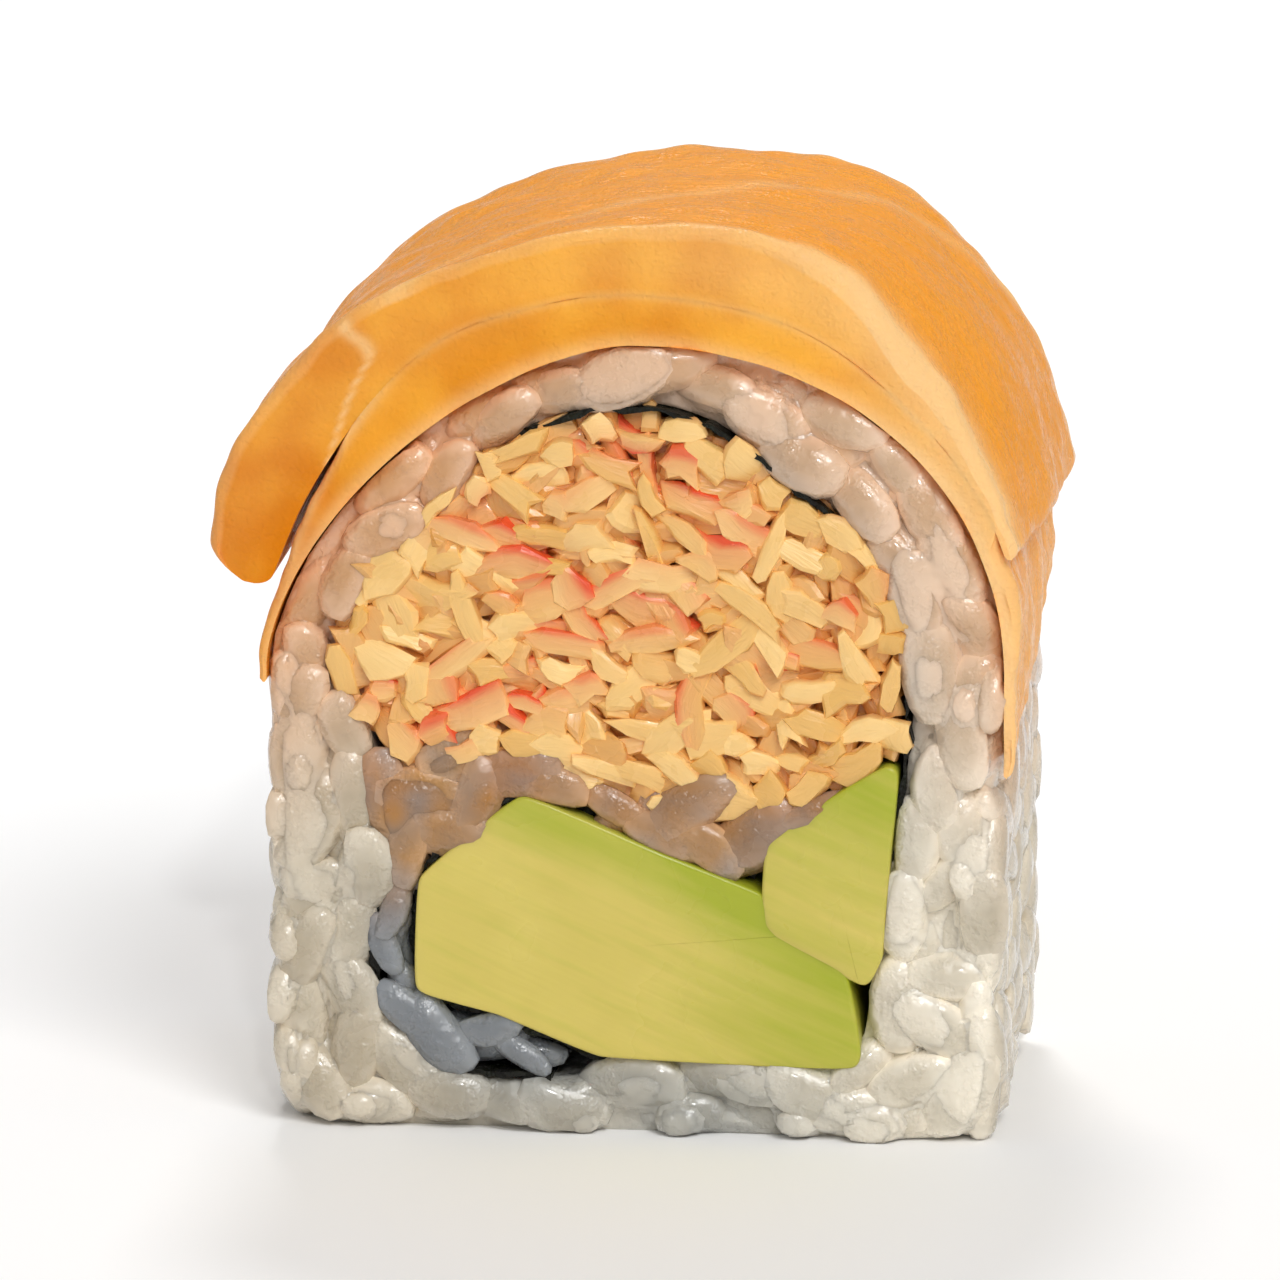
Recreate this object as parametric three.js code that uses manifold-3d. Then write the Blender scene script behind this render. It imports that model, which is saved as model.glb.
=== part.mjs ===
// One piece of an inside-out sushi roll, cut from the roll with two knife cuts and stood on its flat base.
// Rice on the outside, a sheet of seaweed rolled round a bundle of shredded crab stick and two avocado
// sticks, and two slices of salmon draped over the top. X runs across the cut face, Y along the roll from
// the shown cut to the other one, and Z up. The origin is the middle of the base. Units are millimetres.
import * as THREE from "three";
import { mergeVertices } from "three/addons/utils/BufferGeometryUtils.js";
import Module from "manifold-3d";

const wasm = await Module();
wasm.setup();

// Driving sizes
const PIECE_LENGTH = 25;
const BLOCK_HALF_WIDTH = 20;
const BLOCK_HEIGHT = 44;
const SHOULDER_HEIGHT = 26;
const BASE_CORNER = 3.5;
const SEAWEED_THICKNESS = 0.4;
const CLEARANCE = 0.2;
const GRAIN_LENGTH = 6.2;
const GRAIN_WIDTH = 2.9;
const GRAIN_THICKNESS = 2.3;
const SHRED_LENGTH = 5.0;
const SHRED_WIDTH = 1.7;
const SHRED_THICKNESS = 1.3;

// How the grains and shreds lie: the least distance between two, how far they lean out of the face and
// tilt in it, how far below the face the lowest one sits, and the size of the smallest and its growth
const GRAIN_SIZES = { smallest: 0.85, growth: 0.25 };
const CUT_GRAINS = { spacing: 3.1, tries: 9000, lean: 0.4, tilt: 0.5, sunk: 0.4, ...GRAIN_SIZES };
const WALL_GRAINS = { spacing: 3.9, tries: 6000, lean: 0.3, tilt: 0.4, sunk: 0.4, ...GRAIN_SIZES };
const INNER_GRAINS = { tilt: 0.4, smallest: 0.9, growth: 0.2 };
const SHREDS = { spacing: 2.9, tries: 9000, tilt: 0.2, depth: 1.0, sunk: 0.5, smallest: 0.75, growth: 0.4 };
// How far the middle of a grain or shred stays from the seaweed and from the wall
const GRAIN_TO_SEAWEED = 1.3;
const GRAIN_TO_WALL = 1.0;
const SHRED_TO_SEAWEED = 0.9;
const WALL_GRAIN_PROUD = 0.3;
const LOWEST_WALL_GRAIN = 1.4;

// Worked out from them
const CUT = PIECE_LENGTH / 2;
const RICE_CORE_INSET = 0.9;
const WALL_CORE_INSET = 0.7;
const SHRED_CORE_INSET = 1.1;
const SEAWEED_INSET = 0.4;
const FRONT = -1;
const BACK = 1;
const MERGE = 1e-3;
const PAST_ALL = 120;

const MATERIALS = {
  rice: new THREE.MeshStandardMaterial({ color: 0xe6e0d0, roughness: 0.45, metalness: 0 }),
  innerRice: new THREE.MeshStandardMaterial({ color: 0xb9aea4, roughness: 0.4, metalness: 0 }),
  seaweed: new THREE.MeshStandardMaterial({ color: 0x14170f, roughness: 0.55, metalness: 0 }),
  crab: new THREE.MeshStandardMaterial({ color: 0xecd59c, roughness: 0.5, metalness: 0 }),
  avocado: new THREE.MeshStandardMaterial({ color: 0xcfd06a, roughness: 0.4, metalness: 0 }),
  salmon: new THREE.MeshStandardMaterial({ color: 0xeda14c, roughness: 0.35, metalness: 0 }),
};

// A repeatable stream of numbers from 0 to 1 (the mulberry32 generator).
function seeded(seed) {
  let state = seed;
  return () => {
    state = (state + 0x6d2b79f5) | 0;
    let mixed = Math.imul(state ^ (state >>> 15), 1 | state);
    mixed = (mixed + Math.imul(mixed ^ (mixed >>> 7), 61 | mixed)) ^ mixed;
    return ((mixed ^ (mixed >>> 14)) >>> 0) / 2 ** 32;
  };
}

const roundZero = (random, width) => (random() - 0.5) * width;
const sizeOf = (kind, random) => kind.smallest + kind.growth * random();

// Lines in the plane of the cut: arrays of THREE.Vector2, with x across and y up

// A smooth line through a few points, closed or open.
function lineThrough(points, closed, steps) {
  const curve = new THREE.CatmullRomCurve3(
    points.map(([x, z]) => new THREE.Vector3(x, z, 0)),
    closed,
    "centripetal",
  );
  const line = curve.getPoints(steps).map((p) => new THREE.Vector2(p.x, p.y));
  if (closed) line.pop();
  return line;
}

// The unit normal at each point, to the left of the way the line runs.
function normalsOf(line, closed) {
  const last = line.length - 1;
  return line.map((_, i) => {
    const before = line[i > 0 ? i - 1 : closed ? last : 0];
    const after = line[i < last ? i + 1 : closed ? 0 : last];
    const run = after.clone().sub(before).normalize();
    return new THREE.Vector2(-run.y, run.x);
  });
}

function offsetLine(line, distance, closed) {
  const normals = normalsOf(line, closed);
  return line.map((p, i) => p.clone().addScaledVector(normals[i], distance));
}

// The nearest point of a closed line: how far it is, the line's direction there, and whether p is inside.
function nearest(line, p) {
  let best = { distance: Infinity };
  let inside = false;
  line.forEach((a, i) => {
    const b = line[(i + 1) % line.length];
    const run = b.clone().sub(a);
    const share = THREE.MathUtils.clamp(p.clone().sub(a).dot(run) / run.lengthSq(), 0, 1);
    const distance = p.distanceTo(a.clone().addScaledVector(run, share));
    if (distance < best.distance) best = { distance, angle: Math.atan2(run.y, run.x) };
    if (a.y > p.y !== b.y > p.y && p.x < a.x + (run.x * (p.y - a.y)) / run.y) inside = !inside;
  });
  return { ...best, inside };
}

// The outline of the rice: straight walls with rounded base corners, then an arch of two quarter
// superellipses, |x/a|^n + |z/b|^n = 1, the left shoulder falling away sooner than the right one.
const LEFT_SHOULDER_POWER = 1.6;
const RIGHT_SHOULDER_POWER = 2.1;
const ARCH_HEIGHT = BLOCK_HEIGHT - SHOULDER_HEIGHT;

function archPoint(angle) {
  const power = angle > Math.PI / 2 ? LEFT_SHOULDER_POWER : RIGHT_SHOULDER_POWER;
  const across = Math.abs(Math.cos(angle)) ** (2 / power) * Math.sign(Math.cos(angle));
  const up = Math.sin(angle) ** (2 / power);
  return new THREE.Vector2(BLOCK_HALF_WIDTH * across, SHOULDER_HEIGHT + ARCH_HEIGHT * up);
}

function riceOutline(archSteps = 36, cornerSteps = 4) {
  const outline = [];
  for (const side of [1, -1]) {
    const corner = [];
    for (let i = 0; i <= cornerSteps; i++) {
      const turn = ((i / cornerSteps) * Math.PI) / 2;
      corner.push(
        new THREE.Vector2(
          side * (BLOCK_HALF_WIDTH - BASE_CORNER * (1 - Math.sin(turn))),
          BASE_CORNER * (1 - Math.cos(turn)),
        ),
      );
    }
    if (side > 0) {
      outline.push(...corner);
      for (let i = 0; i <= archSteps; i++) outline.push(archPoint((i / archSteps) * Math.PI));
    } else {
      outline.push(...corner.reverse());
    }
  }
  return outline;
}

// The rolled sheet of seaweed, as its middle line from the end tucked over the avocado, down its left
// side and under it, then up the right wall, over the crab and down the left wall to the end at the base.
const SEAWEED_TUCK = [
  [6.4, 14.3], [1.2, 16.2], [-3.2, 18.1], [-6.0, 19.1], [-8.0, 17.9], [-11.4, 14.9],
  [-12.2, 12.6], [-12.2, 9.4], [-11.4, 7.5], [-7.6, 6.4], [-4.6, 5.2], [-1.9, 4.3],
];
const SEAWEED_LOOP = [
  [1.5, 4.05], [6.0, 4.0], [11.0, 4.0], [12.7, 5.0], [13.3, 8.2], [13.9, 13.0], [14.5, 19.0],
  [15.0, 25.0], [14.8, 29.2], [13.0, 33.0], [9.4, 35.7], [7.2, 37.5], [4.0, 39.6], [0.4, 40.5],
  [-3.6, 40.0], [-8.0, 37.6], [-12.0, 33.6], [-15.2, 30.2], [-16.5, 26.8], [-15.4, 22.6],
  [-13.9, 18.6], [-13.6, 15.6], [-14.3, 12.5], [-14.3, 9.0], [-13.2, 6.2],
];
const SEAWEED_END = [[-10.4, 3.7], [-7.4, 3.3], [-4.6, 3.1]];

const seaweedLine = lineThrough([...SEAWEED_TUCK, ...SEAWEED_LOOP, ...SEAWEED_END], false, 110);
const loopLine = lineThrough([...SEAWEED_LOOP, ...SEAWEED_END, [-1.5, 3.35]], true, 64);
const TUCK_CLOSING = [[4.0, 3.9], [12.0, 3.9], [12.6, 6.0], [9.0, 12.2]];
const tuckFilled = lineThrough([...SEAWEED_TUCK, ...TUCK_CLOSING], true, 48);

// Where the crab ends below, from the right wall to the left one.
const CRAB_FLOOR = [
  [15.4, 22.2], [13.4, 21.4], [10.6, 19.6], [7.4, 18.2], [4.0, 19.2], [1.2, 18.4],
  [-1.8, 19.3], [-6.0, 20.5], [-12.0, 20.9], [-14.0, 22.6], [-17.4, 24.6],
];
const LARGE_AVOCADO = [
  [-6.1, 18.5], [-11.4, 14.0], [-11.6, 8.2], [-7.4, 7.05], [-1.8, 4.85], [11.9, 4.6], [11.2, 9.3],
  [7.6, 11.2], [6.6, 13.5], [1.2, 15.6],
];
const SMALL_AVOCADO = [
  [13.9, 20.7], [13.55, 16.4], [13.1, 10.5], [12.5, 9.3], [9.2, 10.9], [7.35, 12.1], [7.6, 16.4],
  [10.9, 18.9],
];

const asLine = (points) => points.map(([x, z]) => new THREE.Vector2(x, z));
const crabOutline = [...asLine(CRAB_FLOOR), new THREE.Vector2(-24, 46), new THREE.Vector2(24, 46)].reverse();

// Solids

// A closed mesh as a solid, from its positions alone.
function solidOf(geometry) {
  const bare = geometry.clone();
  for (const name of Object.keys(bare.attributes)) {
    if (name !== "position") bare.deleteAttribute(name);
  }
  const merged = mergeVertices(bare, MERGE);
  return new wasm.Manifold(
    new wasm.Mesh({
      numProp: 3,
      vertProperties: merged.attributes.position.array,
      triVerts: new Uint32Array(merged.index.array),
    }),
  );
}

function geometryOf(solid) {
  const { vertProperties, triVerts } = solid.getMesh();
  const geometry = new THREE.BufferGeometry();
  geometry.setAttribute("position", new THREE.BufferAttribute(Float32Array.from(vertProperties), 3));
  geometry.setIndex(new THREE.BufferAttribute(Uint32Array.from(triVerts), 1));
  return geometry;
}

// The largest closed body of a solid, which drops loose scraps and fills the hollows that joining seals.
// Merging its corners can pinch off another one, so it repeats until one body is left.
function largestBody(solid) {
  const bodies = solidOf(geometryOf(solid)).decompose();
  if (bodies.length === 1) return bodies[0];
  return largestBody(bodies.sort((a, b) => b.volume() - a.volume())[0]);
}

function meshOf(name, solid, material) {
  const geometry = geometryOf(largestBody(solid));
  geometry.computeVertexNormals();
  const mesh = new THREE.Mesh(geometry, material);
  mesh.name = name;
  return mesh;
}

// The outline drawn out along the roll, from one distance to another.
function barGeometry(outline, from, to) {
  const geometry = new THREE.ExtrudeGeometry(new THREE.Shape(outline), {
    depth: to - from,
    bevelEnabled: false,
    curveSegments: 1,
  });
  return geometry.rotateX(Math.PI / 2).translate(0, to, 0);
}

const bar = (outline, from, to) => solidOf(barGeometry(outline, from, to));
const longBar = (outline) => bar(outline, -CUT - 3, CUT + 3);

// One grain: a low-sided ellipsoid that lies along one direction, its flat side turned outward, placed so
// that it just reaches the given place in the direction of the face that it shows at.
const grainBall = new THREE.SphereGeometry(1, 5, 4);

function grainSolid(place, face, along, outward, scale) {
  const across = new THREE.Vector3().crossVectors(along, outward).normalize();
  const run = new THREE.Vector3().crossVectors(outward, across).normalize();
  const axes = [
    across.multiplyScalar((GRAIN_WIDTH / 2) * scale),
    run.multiplyScalar((GRAIN_LENGTH / 2) * scale),
    outward.clone().normalize().multiplyScalar((GRAIN_THICKNESS / 2) * scale),
  ];
  const reach = Math.hypot(...axes.map((axis) => axis.dot(face)));
  const basis = new THREE.Matrix4().makeBasis(...axes);
  basis.setPosition(place.clone().addScaledVector(face, -reach));
  return solidOf(grainBall.clone().applyMatrix4(basis));
}

// One cut end of a shred of crab stick: a box, narrower at one end and skewed.
const SHRED_TAPER = { most: 0.55, spread: 0.4 };

function shredSolid(centre, angle, tilt, size, random) {
  const box = new THREE.BoxGeometry(SHRED_LENGTH * size, SHRED_THICKNESS, SHRED_WIDTH * size);
  const position = box.attributes.position;
  const taper = SHRED_TAPER.most + SHRED_TAPER.spread * random();
  const skew = roundZero(random, SHRED_WIDTH);
  for (let i = 0; i < position.count; i++) {
    const thin = position.getX(i) > 0 ? taper : 1;
    position.setZ(i, position.getZ(i) * thin + (position.getX(i) > 0 ? skew : 0));
  }
  box.rotateZ(tilt).rotateY(angle).translate(centre.x, centre.y, centre.z);
  return solidOf(box);
}

// Places for pieces on a cut face: random points that pass a test and keep a distance from each other.
function scatter(random, kind, low, high, accepts) {
  const places = [];
  for (let i = 0; i < kind.tries; i++) {
    const p = new THREE.Vector2(
      THREE.MathUtils.lerp(low.x, high.x, random()),
      THREE.MathUtils.lerp(low.y, high.y, random()),
    );
    if (places.every((other) => other.distanceTo(p) > kind.spacing) && accepts(p)) places.push(p);
  }
  return places;
}

// The salmon: two slices over the arch of the rice. A place over the arch is a distance along it from
// the crown, negative to the left, and a height above it.
const WALL_STEPS = 24;
const ARCH_STEPS = 90;
const archPath = (() => {
  const points = [];
  for (let i = 0; i < WALL_STEPS; i++) {
    points.push(new THREE.Vector2(BLOCK_HALF_WIDTH, (SHOULDER_HEIGHT * i) / WALL_STEPS));
  }
  for (let i = 0; i <= ARCH_STEPS; i++) points.push(archPoint((i / ARCH_STEPS) * Math.PI));
  for (let i = WALL_STEPS - 1; i >= 0; i--) {
    points.push(new THREE.Vector2(-BLOCK_HALF_WIDTH, (SHOULDER_HEIGHT * i) / WALL_STEPS));
  }
  points.reverse();
  const distances = [0];
  for (let i = 1; i < points.length; i++) {
    distances.push(distances[i - 1] + points[i].distanceTo(points[i - 1]));
  }
  const top = points.reduce((best, p, i) => (p.y > points[best].y ? i : best), 0);
  return { points, distances: distances.map((d) => d - distances[top]) };
})();

function onArch(distance) {
  const { points, distances } = archPath;
  let i = 1;
  while (i < points.length - 1 && distances[i] < distance) i++;
  const share = (distance - distances[i - 1]) / (distances[i] - distances[i - 1]);
  return points[i - 1].clone().lerp(points[i], share);
}

const NORMAL_REACH = 2.5;
function overArch(distance, height) {
  const run = onArch(distance + NORMAL_REACH).sub(onArch(distance - NORMAL_REACH)).normalize();
  return onArch(distance).addScaledVector(new THREE.Vector2(-run.y, run.x), height);
}

// A smooth value along the arch from a few [distance, value] pairs.
function profile(pairs) {
  return (distance) => {
    let i = 1;
    while (i < pairs.length - 1 && pairs[i][0] < distance) i++;
    const [[from, a], [to, b]] = [pairs[i - 1], pairs[i]];
    const share = THREE.MathUtils.smootherstep(distance, from, to) * 0.4;
    const straight = THREE.MathUtils.clamp((distance - from) / (to - from), 0, 1) * 0.6;
    return a + (b - a) * (share + straight);
  };
}

// Heights of the joint between the slices and of the outer skin, above the rice.
const jointHeight = profile([
  [-30, 0.35], [-26, 0.6], [-23, 0.9], [-20, 1.5], [-14, 3.1], [-9, 3.7], [-4, 3.2], [1, 2.8], [8, 2.6],
  [15, 1.7], [22, 1.4], [28, 1.1], [37, 0.4],
]);
const skinHeight = profile([
  [-26, 3.9], [-24, 5.1], [-20, 6.7], [-13, 7.6], [-7, 7.0], [-1, 6.5], [5, 7.1], [9, 6.6],
  [13, 4.8], [18, 3.0], [25, 1.9],
]);
// How much further out the skin stands away from the shown cut, over the right shoulder.
const skinFlare = profile([
  [-26, -0.8], [-17, -0.6], [-6, 0], [6, 0], [12, 1.4], [17, 2.0], [21, 1.6], [26, 0.9],
]);

const FLARE_DEPTH = 0.45;

const SLICES = {
  inner: { left: () => -29.6, right: (depth) => THREE.MathUtils.lerp(35.5, 27.0, depth) },
  outer: { left: (depth) => -24.8 + 0.8 * depth, right: (depth) => 23.8 + 0.6 * depth },
};
const EDGE_ROUNDING = 0.55;
const THINNEST = 0.3;
const SLICE_STEPS = { along: 30, deep: 6 };

// A slice as a closed grid: its upper and lower faces over the arch, joined round the rim.
function sliceSolid(ends, lowHeight, highHeight) {
  const { along, deep } = SLICE_STEPS;
  const rows = [0, EDGE_ROUNDING / PIECE_LENGTH];
  for (let j = 1; j < deep; j++) rows.push(j / deep);
  rows.push(1 - EDGE_ROUNDING / PIECE_LENGTH, 1);
  const positions = [];
  const put = (distance, depth, height) => {
    const p = overArch(distance, height);
    positions.push(p.x, -CUT + depth * PIECE_LENGTH, p.y);
  };
  for (const upper of [true, false]) {
    for (const depth of rows) {
      const [left, right] = [ends.left(depth), ends.right(depth)];
      const atRim = depth === 0 || depth === 1;
      for (let i = 0; i <= along; i++) {
        const distance = THREE.MathUtils.lerp(left, right, i / along);
        const low = lowHeight(distance, depth);
        const high = Math.max(low + THINNEST, highHeight(distance, depth) - (atRim ? EDGE_ROUNDING : 0));
        put(distance, depth, upper ? high : low);
      }
    }
  }
  const row = along + 1;
  const sheet = row * rows.length;
  const faces = [];
  const quad = (a, b, c, d) => faces.push(a, b, c, a, c, d);
  for (let j = 0; j < rows.length - 1; j++) {
    for (let i = 0; i < along; i++) {
      const at = j * row + i;
      quad(at, at + 1, at + row + 1, at + row);
      quad(sheet + at, sheet + at + row, sheet + at + row + 1, sheet + at + 1);
    }
    const left = j * row;
    const right = left + along;
    quad(left, left + row, sheet + left + row, sheet + left);
    quad(right, sheet + right, sheet + right + row, right + row);
  }
  const lastRow = (rows.length - 1) * row;
  for (let i = 0; i < along; i++) {
    quad(i, sheet + i, sheet + i + 1, i + 1);
    quad(lastRow + i, lastRow + i + 1, sheet + lastRow + i + 1, sheet + lastRow + i);
  }
  const geometry = new THREE.BufferGeometry();
  geometry.setAttribute("position", new THREE.Float32BufferAttribute(positions, 3));
  geometry.setIndex(faces);
  return solidOf(geometry);
}

function salmonSlices() {
  const inner = sliceSolid(
    SLICES.inner,
    () => CLEARANCE,
    (distance) => jointHeight(distance) - CLEARANCE / 2,
  );
  const outer = sliceSolid(
    SLICES.outer,
    (distance) => jointHeight(distance) + CLEARANCE / 2,
    (distance, depth) =>
      skinHeight(distance) + skinFlare(distance) * THREE.MathUtils.smoothstep(depth, 0, FLARE_DEPTH),
  );
  return { inner, outer };
}

// The outer rice: a core with the grains that show fused to both cut faces and to both walls. What lies
// against the seaweed keeps REACH from its middle line, which runs anticlockwise, its inside on the left.
const REACH = SEAWEED_THICKNESS / 2 + CLEARANCE;

function cutFaceGrains(random, side, outline) {
  const grains = [];
  const places = scatter(
    random,
    CUT_GRAINS,
    new THREE.Vector2(-BLOCK_HALF_WIDTH, 0.8),
    new THREE.Vector2(BLOCK_HALF_WIDTH, BLOCK_HEIGHT),
    (p) => {
      const toLoop = nearest(loopLine, p);
      const toWall = nearest(outline, p);
      const clear = toLoop.distance > GRAIN_TO_SEAWEED && toWall.distance > GRAIN_TO_WALL;
      return !toLoop.inside && toWall.inside && clear;
    },
  );
  const face = new THREE.Vector3(0, side, 0);
  for (const p of places) {
    const [toLoop, toWall] = [nearest(loopLine, p), nearest(outline, p)];
    const beside = toWall.distance < toLoop.distance ? toWall : toLoop;
    const turn = beside.angle + roundZero(random, beside.distance);
    const lean = side * roundZero(random, CUT_GRAINS.lean);
    const along = new THREE.Vector3(Math.cos(turn), lean, Math.sin(turn));
    const tilts = [roundZero(random, CUT_GRAINS.tilt), roundZero(random, CUT_GRAINS.tilt)];
    const outward = new THREE.Vector3(tilts[0], side, tilts[1]);
    const place = new THREE.Vector3(p.x, side * (CUT - CUT_GRAINS.sunk * random()), p.y);
    grains.push(grainSolid(place, face, along, outward, sizeOf(CUT_GRAINS, random)));
  }
  return grains;
}

function wallGrains(random, side, height) {
  const grains = [];
  const places = scatter(
    random,
    WALL_GRAINS,
    new THREE.Vector2(-CUT + GRAIN_LENGTH / 2, LOWEST_WALL_GRAIN),
    new THREE.Vector2(CUT - GRAIN_LENGTH / 2, height),
    () => true,
  );
  const face = new THREE.Vector3(side, 0, 0);
  for (const p of places) {
    const turn = random() * Math.PI;
    const lean = side * roundZero(random, WALL_GRAINS.lean);
    const along = new THREE.Vector3(lean, Math.cos(turn), Math.sin(turn));
    const tilts = [roundZero(random, WALL_GRAINS.tilt), roundZero(random, WALL_GRAINS.tilt)];
    const outward = new THREE.Vector3(side, tilts[0], tilts[1]);
    const reach = BLOCK_HALF_WIDTH + WALL_GRAIN_PROUD - WALL_GRAINS.sunk * random();
    const place = new THREE.Vector3(side * reach, p.x, p.y);
    grains.push(grainSolid(place, face, along, outward, sizeOf(WALL_GRAINS, random)));
  }
  return grains;
}

const LEFT_WALL_TOP = 24;
const RIGHT_WALL_TOP = 27;
const WALL_EASING = 4;

function outerRice(salmonRoom) {
  const random = seeded(20);
  const outline = riceOutline();
  const coreOutline = outline.map((p) => {
    const [low, high] = [LEFT_WALL_TOP - WALL_EASING, LEFT_WALL_TOP + WALL_EASING];
    const bare = 1 - THREE.MathUtils.smoothstep(p.y, low, high);
    return new THREE.Vector2(p.x - Math.sign(p.x) * WALL_CORE_INSET * bare, p.y);
  });
  const core = bar(coreOutline, -CUT + RICE_CORE_INSET, CUT - RICE_CORE_INSET);
  const grains = [
    ...cutFaceGrains(random, FRONT, outline),
    ...cutFaceGrains(random, BACK, outline),
    ...wallGrains(random, -1, LEFT_WALL_TOP),
    ...wallGrains(random, 1, RIGHT_WALL_TOP),
  ];
  const roll = longBar(offsetLine(loopLine, -REACH, true));
  const below = solidOf(new THREE.BoxGeometry(PAST_ALL, PAST_ALL, PAST_ALL).translate(0, 0, -PAST_ALL / 2));
  return wasm.Manifold.union([core, ...grains]).subtract(roll).subtract(below).subtract(salmonRoom);
}

// The rice rolled inside, round the tuck: a band over the avocado, down its left side and under it.
const INNER_RICE_SPOTS = [
  [-11.6, 17.6, 0.8], [-8.4, 19.2, 0.5], [-3.0, 18.9, -0.4], [-0.2, 17.8, -0.4], [3.0, 17.1, -0.3],
  [5.4, 16.6, -0.2], [-13.2, 11.0, 1.5], [-11.3, 5.6, -0.5], [-8.6, 4.9, -0.3],
];
// The corners of the room to the right of it, which the small stick of avocado fills
const SMALL_AVOCADO_ROOM = [[7.0, 11.0], [12, 4], [17, 4], [16, 24], [7.2, 17.4]];

function innerRice() {
  const random = seeded(7);
  const grains = [];
  for (const side of [FRONT, BACK]) {
    const face = new THREE.Vector3(0, side, 0);
    for (const [x, z, turn] of INNER_RICE_SPOTS) {
      const along = new THREE.Vector3(Math.cos(turn), 0, Math.sin(turn));
      const tilts = [roundZero(random, INNER_GRAINS.tilt), roundZero(random, INNER_GRAINS.tilt)];
      const outward = new THREE.Vector3(tilts[0], side, tilts[1]);
      const place = new THREE.Vector3(x, side * CUT, z);
      grains.push(grainSolid(place, face, along, outward, sizeOf(INNER_GRAINS, random)));
    }
  }
  const core = solidOf(new THREE.BoxGeometry(PAST_ALL, PIECE_LENGTH - 2 * RICE_CORE_INSET, PAST_ALL));
  return wasm.Manifold.union([core, ...grains])
    .intersect(longBar(offsetLine(loopLine, REACH, true)))
    .subtract(longBar(offsetLine(crabOutline, -CLEARANCE, true)))
    .subtract(longBar(offsetLine(tuckFilled, -REACH, true)))
    .subtract(longBar(asLine(SMALL_AVOCADO_ROOM)));
}

// The crab: a core with the cut ends of the shreds fused on at both cuts.
function crab() {
  const random = seeded(3);
  const room = longBar(offsetLine(loopLine, REACH, true)).intersect(longBar(crabOutline));
  const core = solidOf(new THREE.BoxGeometry(PAST_ALL, PIECE_LENGTH - 2 * SHRED_CORE_INSET, PAST_ALL));
  const shreds = [];
  for (const side of [FRONT, BACK]) {
    const places = scatter(
      random,
      SHREDS,
      new THREE.Vector2(-17, 18),
      new THREE.Vector2(16, 41),
      (p) => {
        const toLoop = nearest(loopLine, p);
        return toLoop.inside && toLoop.distance > SHRED_TO_SEAWEED && nearest(crabOutline, p).inside;
      },
    );
    for (const p of places) {
      const centre = new THREE.Vector3(p.x, side * (CUT - SHREDS.depth - SHREDS.sunk * random()), p.y);
      const angle = random() * Math.PI;
      const tilt = roundZero(random, SHREDS.tilt);
      shreds.push(shredSolid(centre, angle, tilt, sizeOf(SHREDS, random), random));
    }
  }
  return wasm.Manifold.union([core, ...shreds]).intersect(room);
}

// A stick of avocado: the outline drawn through the piece, with its long edges just broken, over a share of
// each side.
const EDGE_BREAK = 0.08;

function avocadoStick(points) {
  const line = asLine(points);
  const loop = lineThrough(
    line.flatMap((p, i) => {
      const next = line[(i + 1) % line.length];
      return [p.clone().lerp(next, EDGE_BREAK).toArray(), p.clone().lerp(next, 1 - EDGE_BREAK).toArray()];
    }),
    true,
    line.length * 3,
  );
  return bar(loop, -CUT, CUT);
}

function seaweed() {
  const half = SEAWEED_THICKNESS / 2;
  const outline = [
    ...offsetLine(seaweedLine, half, false),
    ...offsetLine(seaweedLine, -half, false).reverse(),
  ];
  return bar(outline.reverse(), -CUT + SEAWEED_INSET, CUT - SEAWEED_INSET);
}

// The room over the rice that the salmon needs, which the rice keeps clear
const SALMON_ROOM_HEIGHT = 6;
const salmonRoom = sliceSolid(SLICES.inner, () => 0, () => SALMON_ROOM_HEIGHT);
const slices = salmonSlices();

const roll = new THREE.Group();
roll.add(
  meshOf("outer_rice", outerRice(salmonRoom), MATERIALS.rice),
  meshOf("seaweed", seaweed(), MATERIALS.seaweed),
  meshOf("inner_rice", innerRice(), MATERIALS.innerRice),
  meshOf("crab", crab(), MATERIALS.crab),
  meshOf("avocado_large", avocadoStick(LARGE_AVOCADO), MATERIALS.avocado),
  meshOf("avocado_small", avocadoStick(SMALL_AVOCADO), MATERIALS.avocado),
  meshOf("salmon_inner", slices.inner, MATERIALS.salmon),
  meshOf("salmon_outer", slices.outer, MATERIALS.salmon),
);

export default roll;
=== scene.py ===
"""Dresses one cut piece of an inside-out sushi roll: rice, seaweed, crab, avocado and two slices of salmon.

X runs across the cut face, Y along the roll with the shown cut at its low end, and Z up, as in the model.
A place in the section is (x, z). Lengths are in metres, and the lists below hold millimetres times MM.
"""

import math
from typing import NamedTuple

import bpy
import numpy as np
from bpy.props import FloatProperty, FloatVectorProperty, PointerProperty
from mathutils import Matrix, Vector


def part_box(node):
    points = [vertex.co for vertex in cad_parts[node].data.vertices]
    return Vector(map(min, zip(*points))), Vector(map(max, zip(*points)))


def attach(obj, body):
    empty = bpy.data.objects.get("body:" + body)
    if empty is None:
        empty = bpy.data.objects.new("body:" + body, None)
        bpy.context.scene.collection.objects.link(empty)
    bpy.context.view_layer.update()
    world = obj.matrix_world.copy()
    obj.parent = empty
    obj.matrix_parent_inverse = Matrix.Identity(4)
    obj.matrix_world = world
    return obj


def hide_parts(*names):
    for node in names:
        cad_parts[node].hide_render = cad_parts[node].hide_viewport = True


bl_info = {
    "name": "Uramaki Piece",
    "version": (1, 0, 0),
    "blender": (4, 5, 0),
    "location": "3D View > Sidebar > Uramaki",
    "description": "Makes the rice, seaweed, filling and salmon of one cut piece of an inside-out sushi roll",
    "category": "Add Mesh",
}

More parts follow.
